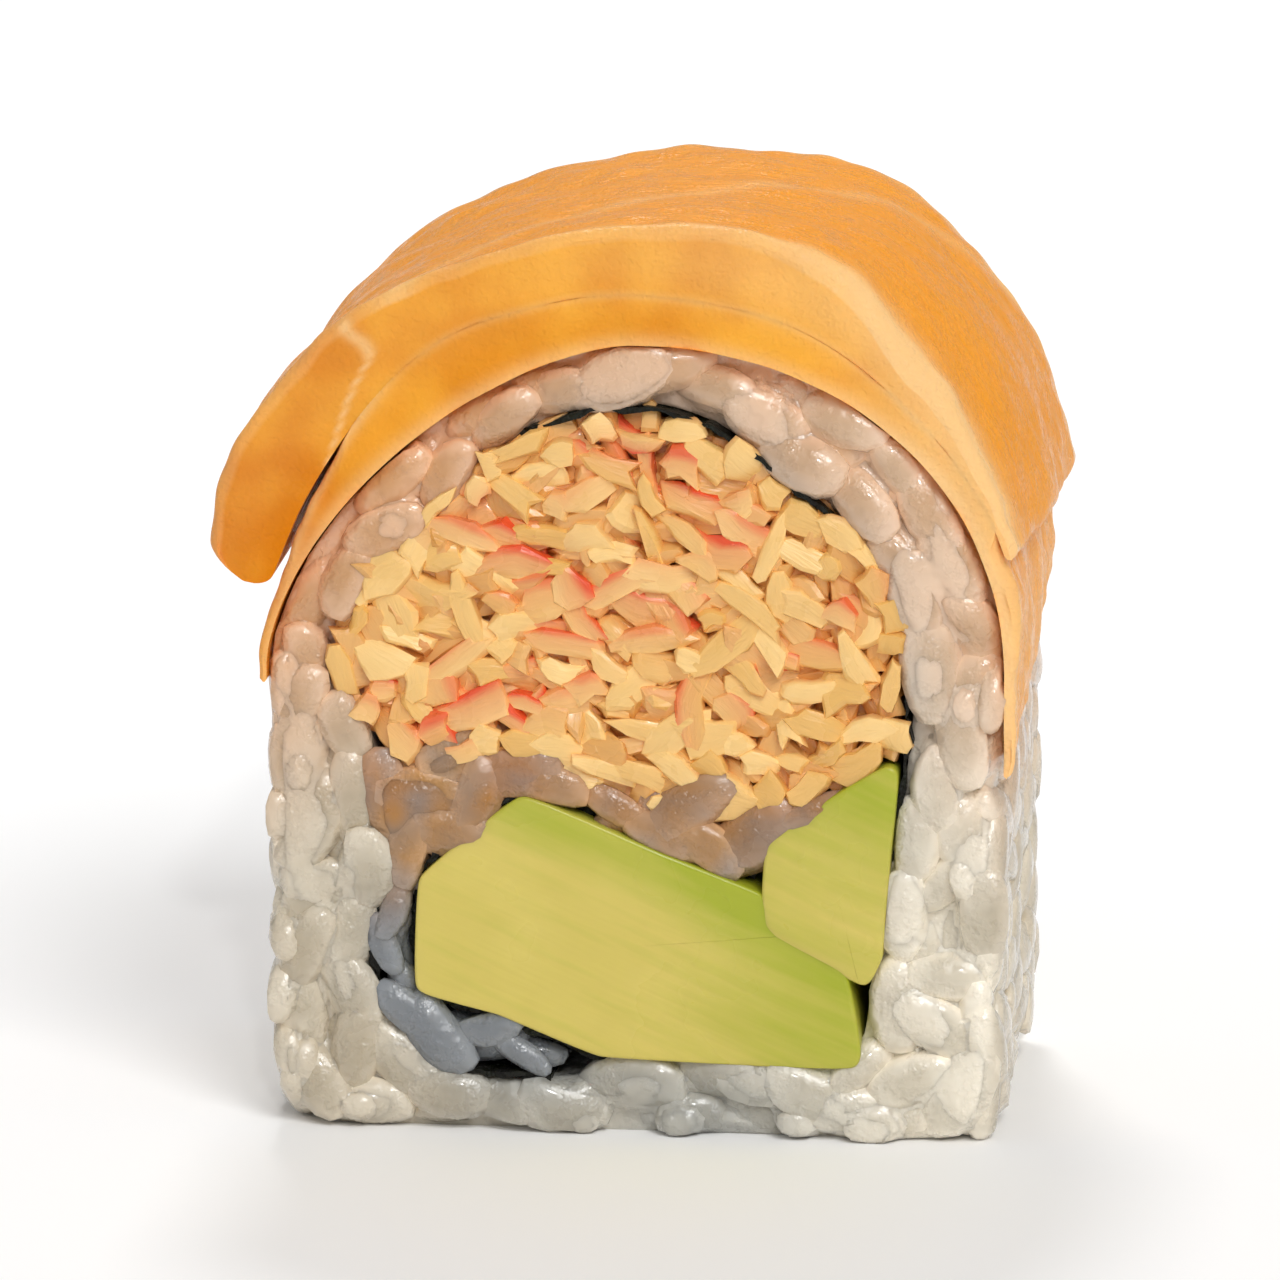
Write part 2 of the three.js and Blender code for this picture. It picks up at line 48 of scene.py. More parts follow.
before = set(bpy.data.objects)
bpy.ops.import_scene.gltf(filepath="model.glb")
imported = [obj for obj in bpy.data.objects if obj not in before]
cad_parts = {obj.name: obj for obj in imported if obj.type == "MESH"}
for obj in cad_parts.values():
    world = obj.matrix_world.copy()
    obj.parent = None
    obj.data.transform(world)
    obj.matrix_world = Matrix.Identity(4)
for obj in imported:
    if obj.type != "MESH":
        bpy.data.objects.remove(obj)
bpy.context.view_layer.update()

MM = 0.001
SALMON_LOW, SALMON_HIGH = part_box("salmon_inner")
CUT = (SALMON_HIGH[1] - SALMON_LOW[1]) / 2

# The section of the roll, as in the model
HALF_WIDTH = 20 * MM
BLOCK_HEIGHT = 44 * MM
SHOULDER_HEIGHT = 26 * MM
BASE_CORNER = 3.5 * MM
LEFT_SHOULDER_POWER = 1.6
RIGHT_SHOULDER_POWER = 2.1
WALL_INSET = 0.7 * MM
WALL_TOP = 24 * MM
HALF_SHEET = 0.2 * MM
CLEARANCE = 0.2 * MM

SEAWEED_TUCK = [
    (6.4, 14.3), (1.2, 16.2), (-3.2, 18.1), (-6.0, 19.1), (-8.0, 17.9), (-11.4, 14.9),
    (-12.2, 12.6), (-12.2, 9.4), (-11.4, 7.5), (-7.6, 6.4), (-4.6, 5.2), (-1.9, 4.3),
]
SEAWEED_LOOP = [
    (1.5, 4.05), (6.0, 4.0), (11.0, 4.0), (12.7, 5.0), (13.3, 8.2), (13.9, 13.0), (14.5, 19.0),
    (15.0, 25.0), (14.8, 29.2), (13.0, 33.0), (9.4, 35.7), (7.2, 37.5), (4.0, 39.6), (0.4, 40.5),
    (-3.6, 40.0), (-8.0, 37.6), (-12.0, 33.6), (-15.2, 30.2), (-16.5, 26.8), (-15.4, 22.6),
    (-13.9, 18.6), (-13.6, 15.6), (-14.3, 12.5), (-14.3, 9.0), (-13.2, 6.2),
]
SEAWEED_END = [(-10.4, 3.7), (-7.4, 3.3), (-4.6, 3.1)]
# How far the sheet's edge shows at each of those points, from 0 where the food closes over it to 1
TUCK_SHOWN = [0.1, 0.1, 0.25, 0.8, 1, 0.9, 0.3, 0.1, 0.5, 0.8, 0.9, 0.6]
LOOP_SHOWN = [
    0.2, 0, 0, 0, 0.1, 0.2, 0.8, 0.9, 0.35, 0.8, 1, 1, 1, 1, 1, 0.35, 0, 0.1, 0.2, 0.1, 0, 0.1, 0.7, 0.9, 0.3,
]
END_SHOWN = [1, 1, 1]
# Closes the loop between the sheet's outer end and its start
LOOP_CLOSING = (-1.5, 3.35)
# The room over the crab's floor
CRAB_FLOOR = [
    (15.4, 22.2), (13.4, 21.4), (10.6, 19.6), (7.4, 18.2), (4.0, 19.2), (1.2, 18.4),
    (-1.8, 19.3), (-6.0, 20.5), (-12.0, 20.9), (-14.0, 22.6), (-17.4, 24.6), (-24, 46), (24, 46),
]
LARGE_AVOCADO = [
    (-6.1, 18.5), (-11.4, 14.0), (-11.6, 8.2), (-7.4, 7.05), (-1.8, 4.85), (11.9, 4.6), (11.2, 9.3),
    (7.6, 11.2), (6.6, 13.5), (1.2, 15.6),
]
SMALL_AVOCADO = [
    (10.9, 18.9), (7.6, 16.4), (7.35, 12.1), (9.2, 10.9), (12.5, 9.3), (13.1, 10.5), (13.55, 16.4),
    (13.9, 20.7),
]
AVOCADO_EASING = 0.02
AVOCADO_SWELL = 0.45 * MM
AVOCADO_ROUNDING = 0.22 * MM
AVOCADO_DOME = 0.12 * MM
# Heights above the rice along its arch: pairs of distance from the crown and height
JOINT_HEIGHT = [
    (-30, 0.35), (-26, 0.6), (-23, 0.9), (-20, 1.5), (-14, 3.1), (-9, 3.7), (-4, 3.2), (1, 2.8), (8, 2.6),
    (15, 1.7), (22, 1.4), (28, 1.1), (37, 0.4),
]
SKIN_HEIGHT = [
    (-26, 3.9), (-24, 5.1), (-20, 6.7), (-13, 7.6), (-7, 7.0), (-1, 6.5), (5, 7.1), (9, 6.6),
    (13, 4.8), (18, 3.0), (25, 1.9),
]
SKIN_FLARE = [(-26, -0.8), (-17, -0.6), (-6, 0), (6, 0), (12, 1.4), (17, 2.0), (21, 1.6), (26, 0.9)]
# Middle line of the inner rice and its half thickness
INNER_RICE_BAND = [
    (9.6, 18.3, 0.5), (7.0, 17.2, 1.4), (4.0, 17.3, 1.7), (1.2, 17.5, 1.3), (-3.2, 19.2, 1.0),
    (-6.0, 20.4, 1.2), (-8.9, 20.0, 1.9), (-11.6, 18.3, 2.3), (-12.7, 15.8, 1.35), (-13.2, 12.5, 0.9),
    (-13.2, 9.5, 0.9), (-12.4, 6.8, 1.05), (-10.4, 5.3, 1.4), (-7.8, 5.0, 1.15), (-5.0, 4.35, 0.5),
]
JOINT_OVERLAP = 0.02 * MM

# How far the cores stay behind the cuts, and how the rice's cores wrap over its grains: how softly, how far
# below them, and the furthest grain that counts
CORE_DEPTH = 1.5 * MM
COVER_SOFTNESS = 0.26 * MM
COVER_SUNK = 0.36 * MM
INNER_COVER_SOFTNESS = 0.2 * MM
INNER_COVER_SUNK = 0.62 * MM
FURTHEST_COVER = 2.6 * MM
COVER_CELL = 8 * MM
CORE_SOFTNESS = 0.1 * MM
# How pale the cores are in the gaps between grains, on the scale of a grain's rim: partly a pale sticky film,
# partly painted light where shade would fall between the grains
CORE_RIM = 0.8
INNER_CORE_RIM = 0.15
# How far grains stand back from the flat of the cut, or out of it, in millimetres
LEAST_SPARE = -0.3
MOST_SPARE = 0.25
# Where the crab's red skin shows: x, z and how far it spreads
RED_SPOTS = [
    (-0.4, 38.4, 1.8), (3.4, 35.6, 1.5), (4.4, 33.2, 1.7), (-3.0, 35.4, 1.2), (-6.2, 31.4, 1.6),
    (-3.6, 29.4, 2.2), (0.8, 29.6, 1.9), (-9.4, 24.4, 2.0), (-6.6, 23.6, 1.6), (4.6, 24.6, 1.3),
    (-11.4, 21.8, 1.4), (-14.0, 24.6, 1.2), (10.6, 29.2, 1.1), (8.2, 27.4, 1.0), (-8.0, 34.0, 1.1),
]


def linear(red, green, blue):
    """A colour as Blender's linear values, from its screen values out of 255."""
    screen = np.array((red, green, blue)) / 255
    return tuple(np.where(screen <= 0.04045, screen / 12.92, ((screen + 0.055) / 1.055) ** 2.4))


def length_of(name, about, millimetres):
    return FloatProperty(
        name=name, description=about, default=millimetres * MM, min=0.0, subtype="DISTANCE", unit="LENGTH"
    )


def colour_of(name, about, red, green, blue):
    start = linear(red, green, blue)
    return FloatVectorProperty(name=name, description=about, default=start, min=0.0, max=1.0, subtype="COLOR")


class RollSizes(bpy.types.PropertyGroup):
    grain_length: length_of("Grain Length", "Length of a cooked grain of rice", 5.6)
    grain_width: length_of("Grain Width", "Width of a cooked grain of rice", 3.1)
    grain_thickness: length_of("Grain Thickness", "Thickness of a cooked grain of rice", 2.3)
    grain_spacing: length_of("Grain Spacing", "Least distance between the middles of two grains", 2.35)
    shred_length: length_of("Shred Length", "Length of a shred of crab at the cut", 4.4)
    shred_width: length_of("Shred Width", "Width of a shred of crab", 2.1)
    shred_thickness: length_of("Shred Thickness", "Thickness of a shred of crab", 1.2)
    shred_spacing: length_of("Shred Spacing", "Least distance between the middles of two shreds", 1.45)
    knife_softness: length_of("Knife Softness", "How round a grain's edge is at the knife's cut", 0.24)
    rim_rounding: length_of("Rim Rounding", "How far the salmon's cut edge is rounded", 0.6)


class RollColours(bpy.types.PropertyGroup):
    rice: colour_of("Rice", "The cream of the rice", 210, 198, 175)
    # Also painted shade under the salmon
    rice_blush_and_shade: colour_of("Rice Blush", "The rice where the salmon tints it", 202, 146, 92)
    rice_shade: colour_of("Rice Shade", "The rice where the seaweed shows through it", 140, 140, 134)
    inner_rice: colour_of("Inner Rice", "The rice rolled inside the seaweed", 180, 126, 54)
    inner_rice_shade: colour_of("Inner Rice Shade", "The inner rice over the seaweed", 118, 122, 126)
    seaweed: colour_of("Seaweed", "The sheet of seaweed", 16, 14, 10)
    crab: colour_of("Crab", "The flesh of the crab stick", 236, 194, 122)
    # Painted shade: the orange deep in the gaps between shreds
    crab_gap_shade: colour_of("Crab Gap", "The crab deep between its shreds", 196, 112, 42)
    crab_red: colour_of("Crab Red", "The coloured skin of the crab stick", 224, 80, 40)
    avocado: colour_of("Avocado", "The pale middle of the avocado", 208, 190, 94)
    avocado_green: colour_of("Avocado Green", "The avocado near its skin", 164, 172, 42)
    salmon_cut: colour_of("Salmon Cut", "The salmon's cut face", 246, 170, 54)
    # Also painted shade on the left of the cut
    salmon_deep: colour_of("Salmon Deep", "The deepest orange of the salmon's cut face", 214, 120, 2)
    salmon_outside: colour_of("Salmon Outside", "The salmon's outer surface", 243, 157, 34)
    # Also the colour of painted highlights and painted light on the salmon
    salmon_fat_and_light: colour_of("Salmon Fat", "The pale lines of fat in the salmon", 248, 202, 140)


# Lines and places in the section


def smooth_line(points, steps, closed=False):
    """Points along a smooth line through the given ones, as a centripetal Catmull-Rom spline: in each span,
    the cubic that starts and ends with the slopes of the parabolas through its neighbours, where a span
    lasts as long as the square root of its length."""
    points = np.asarray(points, float)
    if closed:
        ring = np.vstack((points[-1:], points, points[:2]))
        spans = len(points)
    else:
        ring = np.vstack((2 * points[:1] - points[1:2], points, 2 * points[-1:] - points[-2:-1]))
        spans = len(points) - 1
    places = np.linspace(0, spans, steps, endpoint=not closed)
    span = np.minimum(places.astype(int), spans - 1)
    share = (places - span)[:, None]
    a, b, c, d = (ring[span + k] for k in range(4))
    pairs = ((a, b), (b, c), (c, d))
    gap_a, gap_b, gap_c = (np.sqrt(np.linalg.norm(q - p, axis=1))[:, None] for p, q in pairs)
    slope_b = ((b - a) / gap_a - (c - a) / (gap_a + gap_b) + (c - b) / gap_b) * gap_b
    slope_c = ((c - b) / gap_b - (d - b) / (gap_b + gap_c) + (d - c) / gap_c) * gap_b
    square = 3 * (c - b) - 2 * slope_b - slope_c
    cube = 2 * (b - c) + slope_b + slope_c
    return b + slope_b * share + square * share**2 + cube * share**3


def line_normals(line, closed=False):
    """The unit normal at each point, to the left of the way that the line runs."""
    if closed:
        run = np.roll(line, -1, axis=0) - np.roll(line, 1, axis=0)
    else:
        run = np.gradient(line, axis=0)
    run = run / np.linalg.norm(run, axis=1)[:, None]
    return np.column_stack((-run[:, 1], run[:, 0]))


def against_line(places, line):
    """For each place, its distance from a closed line, the line's angle at the nearest point, and whether it
    is inside, which is when a ray to the right of it crosses the line an odd number of times."""
    ahead = np.roll(line, -1, axis=0) - line
    gap = places[:, None] - line
    share = np.clip((gap * ahead).sum(-1) / (ahead**2).sum(-1), 0, 1)
    apart = np.linalg.norm(gap - share[..., None] * ahead, axis=-1)
    best = apart.argmin(1)
    x, z = places[:, :1], places[:, 1:]
    crosses = (line[:, 1] > z) != (np.roll(line[:, 1], -1) > z)
    rise = np.where(crosses, ahead[:, 1], 1)
    inside = (crosses & (x < line[:, 0] + ahead[:, 0] * (z - line[:, 1]) / rise)).sum(1) % 2 == 1
    return apart.min(1), np.arctan2(ahead[best, 1], ahead[best, 0]), inside


def radius_round(line, centre, angles):
    """How far a closed line lies from a centre inside it, at each angle."""
    offset = line - centre
    bearing = np.arctan2(offset[:, 1], offset[:, 0])
    return np.interp(angles, bearing, np.hypot(*offset.T), period=2 * math.pi)


def along_profile(distance, pairs):
    """A value at each distance along the arch, read off a smooth line through the pairs."""
    at, value = smooth_line(np.array(pairs) * MM, 600).T
    return np.interp(distance, at, value)


def arch(angle):
    """The top of the rice: |x / half width| to a power plus |height / arch height| to it is one, with a lower
    power on the left shoulder, which falls away sooner."""
    power = np.where(angle > math.pi / 2, LEFT_SHOULDER_POWER, RIGHT_SHOULDER_POWER)
    across = np.sign(np.cos(angle)) * np.abs(np.cos(angle)) ** (2 / power)
    up = np.abs(np.sin(angle)) ** (2 / power)
    return np.column_stack((HALF_WIDTH * across, SHOULDER_HEIGHT + (BLOCK_HEIGHT - SHOULDER_HEIGHT) * up))


def rice_outline():
    """The outline of the rice: a quarter circle at each base corner, upright walls, and the arch."""
    turn = np.linspace(0, math.pi / 2, 8)
    corner = np.column_stack(
        (HALF_WIDTH - BASE_CORNER * (1 - np.sin(turn)), BASE_CORNER * (1 - np.cos(turn)))
    )
    wall = np.column_stack((np.full(9, HALF_WIDTH), np.linspace(BASE_CORNER, SHOULDER_HEIGHT, 11)[1:-1]))
    right = np.vstack((corner, wall))
    return np.vstack((right, arch(np.linspace(0, math.pi, 90)), (right * (-1, 1))[::-1]))


def arch_path():
    """The walls and arch of the rice from left to right, with each point's distance from the crown."""
    wall = np.linspace(0, SHOULDER_HEIGHT, 24, endpoint=False)
    left = np.column_stack((np.full(24, -HALF_WIDTH), wall))
    points = np.vstack((left, arch(np.linspace(math.pi, 0, 181)), (left * (-1, 1))[::-1]))
    distance = np.concatenate(([0], np.linalg.norm(np.diff(points, axis=0), axis=1).cumsum()))
    return points, distance - distance[points[:, 1].argmax()]


def over_arch(distance, height):
    """Places a height above the rice: out along the normal, which is across the chord between the points
    2.5 mm to either side."""
    points, distances = arch_path()

    def on_arch(where):
        return np.stack([np.interp(where, distances, points[:, k]) for k in range(2)], axis=-1)

    run = on_arch(distance + 2.5 * MM) - on_arch(distance - 2.5 * MM)
    run = run / np.linalg.norm(run, axis=-1)[..., None]
    normal = np.stack((-run[..., 1], run[..., 0]), axis=-1)
    return on_arch(distance) + normal * height[..., None]


OUTLINE = rice_outline()
SHEET_STEPS = 520
ALL_SHOWN = TUCK_SHOWN + LOOP_SHOWN + END_SHOWN
LOOP = smooth_line(np.array(SEAWEED_LOOP + SEAWEED_END + [LOOP_CLOSING]) * MM, 200, closed=True)
SHEET = smooth_line(np.array(SEAWEED_TUCK + SEAWEED_LOOP + SEAWEED_END) * MM, SHEET_STEPS)
# The first point of the sheet that is past its tuck
LOOP_START = 152
SHOWN = np.interp(np.linspace(0, 1, SHEET_STEPS), np.linspace(0, 1, len(ALL_SHOWN)), ALL_SHOWN)
CRAB_ROOM = np.array(CRAB_FLOOR[::-1]) * MM


def hidden_sheet(places, first=0):
    """How far the food closes over the sheet's edge nearest to each place, from 0 to 1. Points of the sheet
    before the first don't count."""
    nearest = np.linalg.norm(places[:, None] - SHEET[first:], axis=-1).argmin(1)
    return 1 - SHOWN[first + nearest]


# Values over a surface


def stacked(*parts):
    """Arrays set side by side on a new last axis, each spread to the shape that they share."""
    return np.stack(np.broadcast_arrays(*parts), axis=-1)


def heading(angles):
    """The unit vector at each angle."""
    return np.stack((np.cos(angles), np.sin(angles)), axis=-1)


def square_reach(angles, power):
    """How far a rounded square lies from its middle at each angle: there, the absolute cosine and sine times
    that distance, each to the power, add up to one."""
    return (np.abs(np.cos(angles)) ** power + np.abs(np.sin(angles)) ** power) ** (-1 / power)


def waves(places, size, seed):
    """A smooth value from about -1 to 1 at each place: the mean of nine sine waves about as long as size, in
    seeded directions."""
    rng = np.random.default_rng(seed)
    direction = rng.normal(size=(places.shape[-1], 9))
    direction *= rng.uniform(0.7, 1.5, 9) / np.linalg.norm(direction, axis=0)
    phase = rng.uniform(0, 2 * math.pi, 9)
    return np.sin(places @ direction * (2 * math.pi / size) + phase).mean(-1) * 2


def smooth_step(value, low, high):
    """0 below low, 1 above high, and in between three times the square of the share less twice its cube."""
    share = np.clip((value - low) / (high - low), 0, 1)
    return share * share * (3 - 2 * share)


def soft_limit(value, limit, softness):
    """The smaller of value and limit, blended where they are close: less the log of the sum of the
    exponentials of less each."""
    return -softness * np.logaddexp(-value / softness, -limit / softness)


def scattered(rng, low, high, spacing, accepts, tries=9000):
    """Random places in a box that pass a test and keep their distance from each other."""
    candidates = rng.uniform(low, high, (tries, len(low)))
    candidates = candidates[accepts(candidates)]
    kept = np.empty((0, len(low)))
    for candidate in candidates:
        if not len(kept) or np.linalg.norm(kept - candidate, axis=1).min() > spacing:
            kept = np.vstack((kept, candidate))
    return kept


# Meshes


def faces_of_grid(rows, columns, closed_rows=False, closed_columns=False):
    """The quads of a grid of points numbered row by row."""
    number = np.arange(rows * columns).reshape(rows, columns)
    if closed_rows:
        number = np.vstack((number, number[:1]))
    if closed_columns:
        number = np.column_stack((number, number[:, :1]))
    corners = (number[:-1, :-1], number[:-1, 1:], number[1:, 1:], number[1:, :-1])
    return np.stack(corners, axis=-1).reshape(-1, 4)


def fan(rim, centre):
    """Triangles from each edge of a ring of points to one in its middle."""
    return np.column_stack((rim, np.roll(rim, -1), np.full(len(rim), centre)))


def tube_faces(rings, sides):
    """The quads of a tube of closed rings of points, and triangles that close it with two more points, one
    past the first ring and one past the last."""
    first = np.arange(sides)
    last = first + (rings - 1) * sides
    triangles = np.vstack((fan(first[::-1], rings * sides), fan(last, rings * sides + 1)))
    return faces_of_grid(rings, sides, closed_columns=True), triangles


def turned_out(vertices, quads, triangles):
    """The faces, turned round if they enclose a negative volume."""
    split = np.vstack((quads[:, :3], quads[:, (0, 2, 3)], triangles))
    a, b, c = (vertices[split[:, k]] for k in range(3))
    if (a * np.cross(b, c)).sum() < 0:
        return quads[:, ::-1], triangles[:, ::-1]
    return quads, triangles


def new_piece(name, vertices, quads, triangles, material, values, sharp=None):
    """A mesh object from arrays of points and faces, with named values at the points, shaded smooth except
    across edges sharper than an angle."""
    quads = np.asarray(quads, int).reshape(-1, 4)
    triangles = np.asarray(triangles, int).reshape(-1, 3)
    quads, triangles = turned_out(vertices, quads, triangles)
    mesh = bpy.data.meshes.new(name)
    mesh.vertices.add(len(vertices))
    mesh.vertices.foreach_set("co", np.asarray(vertices, np.float32).ravel())
    loops = np.concatenate((quads.ravel(), triangles.ravel())).astype(np.int32)
    mesh.loops.add(len(loops))
    mesh.loops.foreach_set("vertex_index", loops)
    starts = np.concatenate(
        (np.arange(len(quads)) * 4, len(quads) * 4 + np.arange(len(triangles)) * 3)
    ).astype(np.int32)
    mesh.polygons.add(len(starts))
    mesh.polygons.foreach_set("loop_start", starts)
    mesh.polygons.foreach_set("use_smooth", np.ones(len(starts), bool))
    for label, value in values.items():
        if value.ndim == 1:
            mesh.attributes.new(label, "FLOAT", "POINT").data.foreach_set("value", value.astype(np.float32))
        else:
            vectors = mesh.attributes.new(label, "FLOAT_VECTOR", "POINT")
            vectors.data.foreach_set("vector", value.astype(np.float32).ravel())
    mesh.update(calc_edges=True)
    mesh.validate()
    if sharp is not None:
        mesh.set_sharp_from_angle(angle=math.radians(sharp))
    mesh.materials.append(material)
    piece = bpy.data.objects.new(name, mesh)
    bpy.context.scene.collection.objects.link(piece)
    return piece


def dressed(piece, slot, *nodes):
    """Lets a piece move with the roll and stand for CAD nodes, which it hides. The slot is not used."""
    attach(piece, "root")
    if nodes:
        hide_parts(*nodes)


class Lot(NamedTuple):
    """Many copies of one shape: their middles, their three axes (along, across and outward), half their size
    on each, how far each is bent across, and how much narrower one end of each is."""

    centres: np.ndarray
    axes: np.ndarray
    radii: np.ndarray
    bend: np.ndarray
    taper: np.ndarray


def joined(lots):
    return Lot(*(np.concatenate(columns) for columns in zip(*lots)))


def axes_of(along, outward):
    """Three axes at right angles for each copy, from the way that it runs and the way that it looks."""
    across = np.cross(outward, along)
    across /= np.linalg.norm(across, axis=1)[:, None]
    along = np.cross(across, outward)
    along /= np.linalg.norm(along, axis=1)[:, None]
    return np.stack((along, across, np.cross(along, across)), axis=1)


def copies_of(shapes, lot):
    """The points of each copy, from its own or a shared shape between -1 and 1. The middle is moved across by
    the bend times one less twice the square of the place along, and the taper narrows it along its length."""
    local = np.array(np.broadcast_to(shapes, (len(lot.centres), *shapes.shape[-2:])))
    narrow = 1 - lot.taper[:, None] * local[..., 0]
    local[..., 1] = local[..., 1] * narrow + lot.bend[:, None] * (1 - 2 * local[..., 0] ** 2)
    local[..., 2] = local[..., 2] * narrow
    return lot.centres[:, None] + np.einsum("nkc,ncd->nkd", local * lot.radii[:, None], lot.axes)


def soft_cover(points, normals, lot, softness, sunk):
    """How far each point moves along its normal for a skin that wraps loosely over a lot of ellipsoids: the
    soft maximum, which is the log of a sum of exponentials, of zero and of the distances at which the normal
    leaves each of them, less how far the skin is sunk. The normal leaves an ellipsoid at the larger root of a
    quadratic; where it misses, the distance to its middle is used, less three times how far it misses. Those
    further off than FURTHEST_COVER don't count. It works through the points by cells of a grid."""
    moved = np.empty(len(points))
    cells = np.unique(np.floor(points / COVER_CELL), axis=0, return_inverse=True)[1].ravel()
    for part in (np.flatnonzero(cells == cell) for cell in range(cells.max() + 1)):
        near = np.linalg.norm(lot.centres - points[part].mean(0), axis=1) < 1.6 * COVER_CELL
        centres, axes, radii = lot.centres[near], lot.axes[near], lot.radii[near]
        gap = np.einsum("pgc,gac->pga", points[part, None] - centres, axes) / radii
        run = np.einsum("pc,gac->pga", normals[part], axes) / radii
        square, both, rest = (run**2).sum(-1), (gap * run).sum(-1), (gap**2).sum(-1) - 1
        root = both**2 - square * rest
        leaves = (np.sqrt(np.maximum(root, 0)) - both - 3 * np.sqrt(np.maximum(-root, 0))) / square
        counted = np.exp((leaves - sunk) / softness) * (leaves < FURTHEST_COVER)
        moved[part] = softness * np.log1p(counted.sum(1))
    return moved


def faces_of_copies(quads, triangles, points, copies):
    shift = (np.arange(copies) * points)[:, None, None]
    return (quads[None] + shift).reshape(-1, 4), (triangles[None] + shift).reshape(-1, 3)


def grain_template(rings=6, sides=9):
    """A plump grain from -1 to 1 along x: round across, its radius the sine of the angle along it to the
    power 0.8, closed at a point at each end. Returns its points, quads and triangles."""
    turn = np.linspace(0, math.pi, rings + 2)[1:-1, None]
    around = np.linspace(0, 2 * math.pi, sides, endpoint=False)
    radius = np.sin(turn) ** 0.8
    rounds = stacked(np.cos(turn) * 1.02, radius * np.cos(around), radius * np.sin(around))
    points = np.vstack((rounds.reshape(-1, 3), [(1, 0, 0), (-1, 0, 0)]))
    return points, *turned_out(points, *tube_faces(rings, sides))


def chip_shapes(count, rng, corners=9):
    """Flat-topped chips from -1 to 1: rings of corners on a rounded square, widest at the middle of the side,
    each corner drawn in or out at random for each chip. Returns an array of chips by points, and the faces
    of one."""
    around = np.linspace(0, 2 * math.pi, corners, endpoint=False)
    reach = rng.uniform(0.62, 1.1, (count, corners)) * square_reach(around, 5)
    across, up = reach * np.cos(around), reach * np.sin(around)
    rings = [
        stacked(width * across, width * up, height)
        for height, width in ((-1.0, 0.7), (-0.2, 1.0), (0.62, 0.97), (1.0, 0.8))
    ]
    tips = np.broadcast_to([(0, 0, -1.0), (0, 0, 1.08)], (count, 2, 3))
    shapes = np.concatenate((*rings, tips), axis=1)
    return shapes, turned_out(shapes[0], *tube_faces(4, corners))


def in_section(places, y):
    """Places in the section, (x, z), as points in space at a distance along the roll."""
    return stacked(places[..., 0], y, places[..., 1])


def grid_normals(points):
    """Unit normals that look out of a closed grid of points: the cross product of the ways to the neighbours
    on the grid, turned round if they enclose a negative volume."""
    down = np.roll(points, -1, axis=0) - np.roll(points, 1, axis=0)
    right = np.roll(points, -1, axis=1) - np.roll(points, 1, axis=1)
    normals = np.cross(down, right)
    normals *= np.sign((normals * points).sum())
    return normals / np.linalg.norm(normals, axis=-1)[..., None]


def ring_core(name, inner, outer, half_length, lot, material, values):
    """A ring between two closed lines drawn along the roll, wrapped loosely over a lot of grains: for each
    angle round its middle, a closed loop of points over the front face, the outer wall, the back face and
    the inner wall."""
    centre = np.array((0, BLOCK_HEIGHT / 2))
    angles = np.linspace(0, 2 * math.pi, 420, endpoint=False)[:, None]
    inside, outside = radius_round(inner, centre, angles), radius_round(outer, centre, angles)
    out, back = np.linspace(0, 1, 20), np.linspace(-1, 1, 40)[1:-1]
    share = np.concatenate((out, np.ones(38), out[::-1], np.zeros(38)))
    depth = np.concatenate((np.full(20, -1.0), back, np.full(20, 1.0), back[::-1]))
    radius = inside + (outside - inside) * share
    points = in_section(centre + radius[..., None] * heading(angles), depth * half_length)
    normals = grid_normals(points).reshape(-1, 3)
    points = points.reshape(-1, 3)
    outwards = (share > 0) | (np.abs(depth) == 1)
    raised = soft_cover(points, normals, lot, COVER_SOFTNESS, COVER_SUNK) * np.tile(outwards, len(angles))
    points = pressed(points + normals * raised[:, None], CORE_SOFTNESS)
    quads = faces_of_grid(len(angles), len(share), closed_rows=True, closed_columns=True)
    return new_piece(name, points, quads, [], material, values(points))


def pillow(outline, half_length, rounding, dome):
    """A closed line drawn along the roll with rounded rims and slightly domed faces, as points and faces:
    rings of the line's shape from the middle of the front face, over the rim and the sides, to the middle of
    the back."""
    centre = outline.mean(0)
    offset = outline - centre
    turn = np.linspace(0, math.pi / 2, 7)[:, None]
    face = np.linspace(0.02, 1, 20)[:-1, None]
    rim = rounding / np.linalg.norm(offset, axis=1)
    shares = np.vstack((face * (1 - rim), 1 - rim * (1 - np.sin(turn))))
    depths = np.vstack((dome * (1 - face**2), -rounding * (1 - np.cos(turn)))) + half_length
    sides = np.linspace(-1, 1, 12)[1:-1, None] * (half_length - rounding)
    shares = np.vstack((shares, np.ones((len(sides), len(outline))), shares[::-1]))
    depths = np.vstack((-depths, sides, depths[::-1]))
    points = in_section(centre + offset * shares[..., None], depths)
    ends = in_section(centre, np.array((-1, 1)) * (half_length + dome))
    return np.vstack((points.reshape(-1, 3), ends)), *tube_faces(*points.shape[:2])


# Materials


def feed(tree, socket, value):
    """Links a socket to another one, or sets it to a value."""
    if isinstance(value, bpy.types.NodeSocket):
        tree.links.new(value, socket)
    elif socket.type == "RGBA":
        socket.default_value = (*tuple(value)[:3], 1)
    else:
        socket.default_value = value


def add_node(tree, kind, inputs, **settings):
    """A node with its settings, and each input, by name or number, set to a value or linked to a socket."""
    node = tree.nodes.new(kind)
    for name, value in settings.items():
        setattr(node, name, value)
    for name, value in inputs.items():
        feed(tree, node.inputs[name], value)
    return node


def mix_colours(tree, share, first, second):
    """The colour between two, by a share from 0 to 1."""
    inputs = {0: share, 6: first, 7: second}
    return add_node(tree, "ShaderNodeMix", inputs, data_type="RGBA", clamp_factor=True).outputs[2]


def calculate(tree, operation, *values, clamped=False):
    inputs = dict(enumerate(values))
    return add_node(tree, "ShaderNodeMath", inputs, operation=operation, use_clamp=clamped).outputs[0]


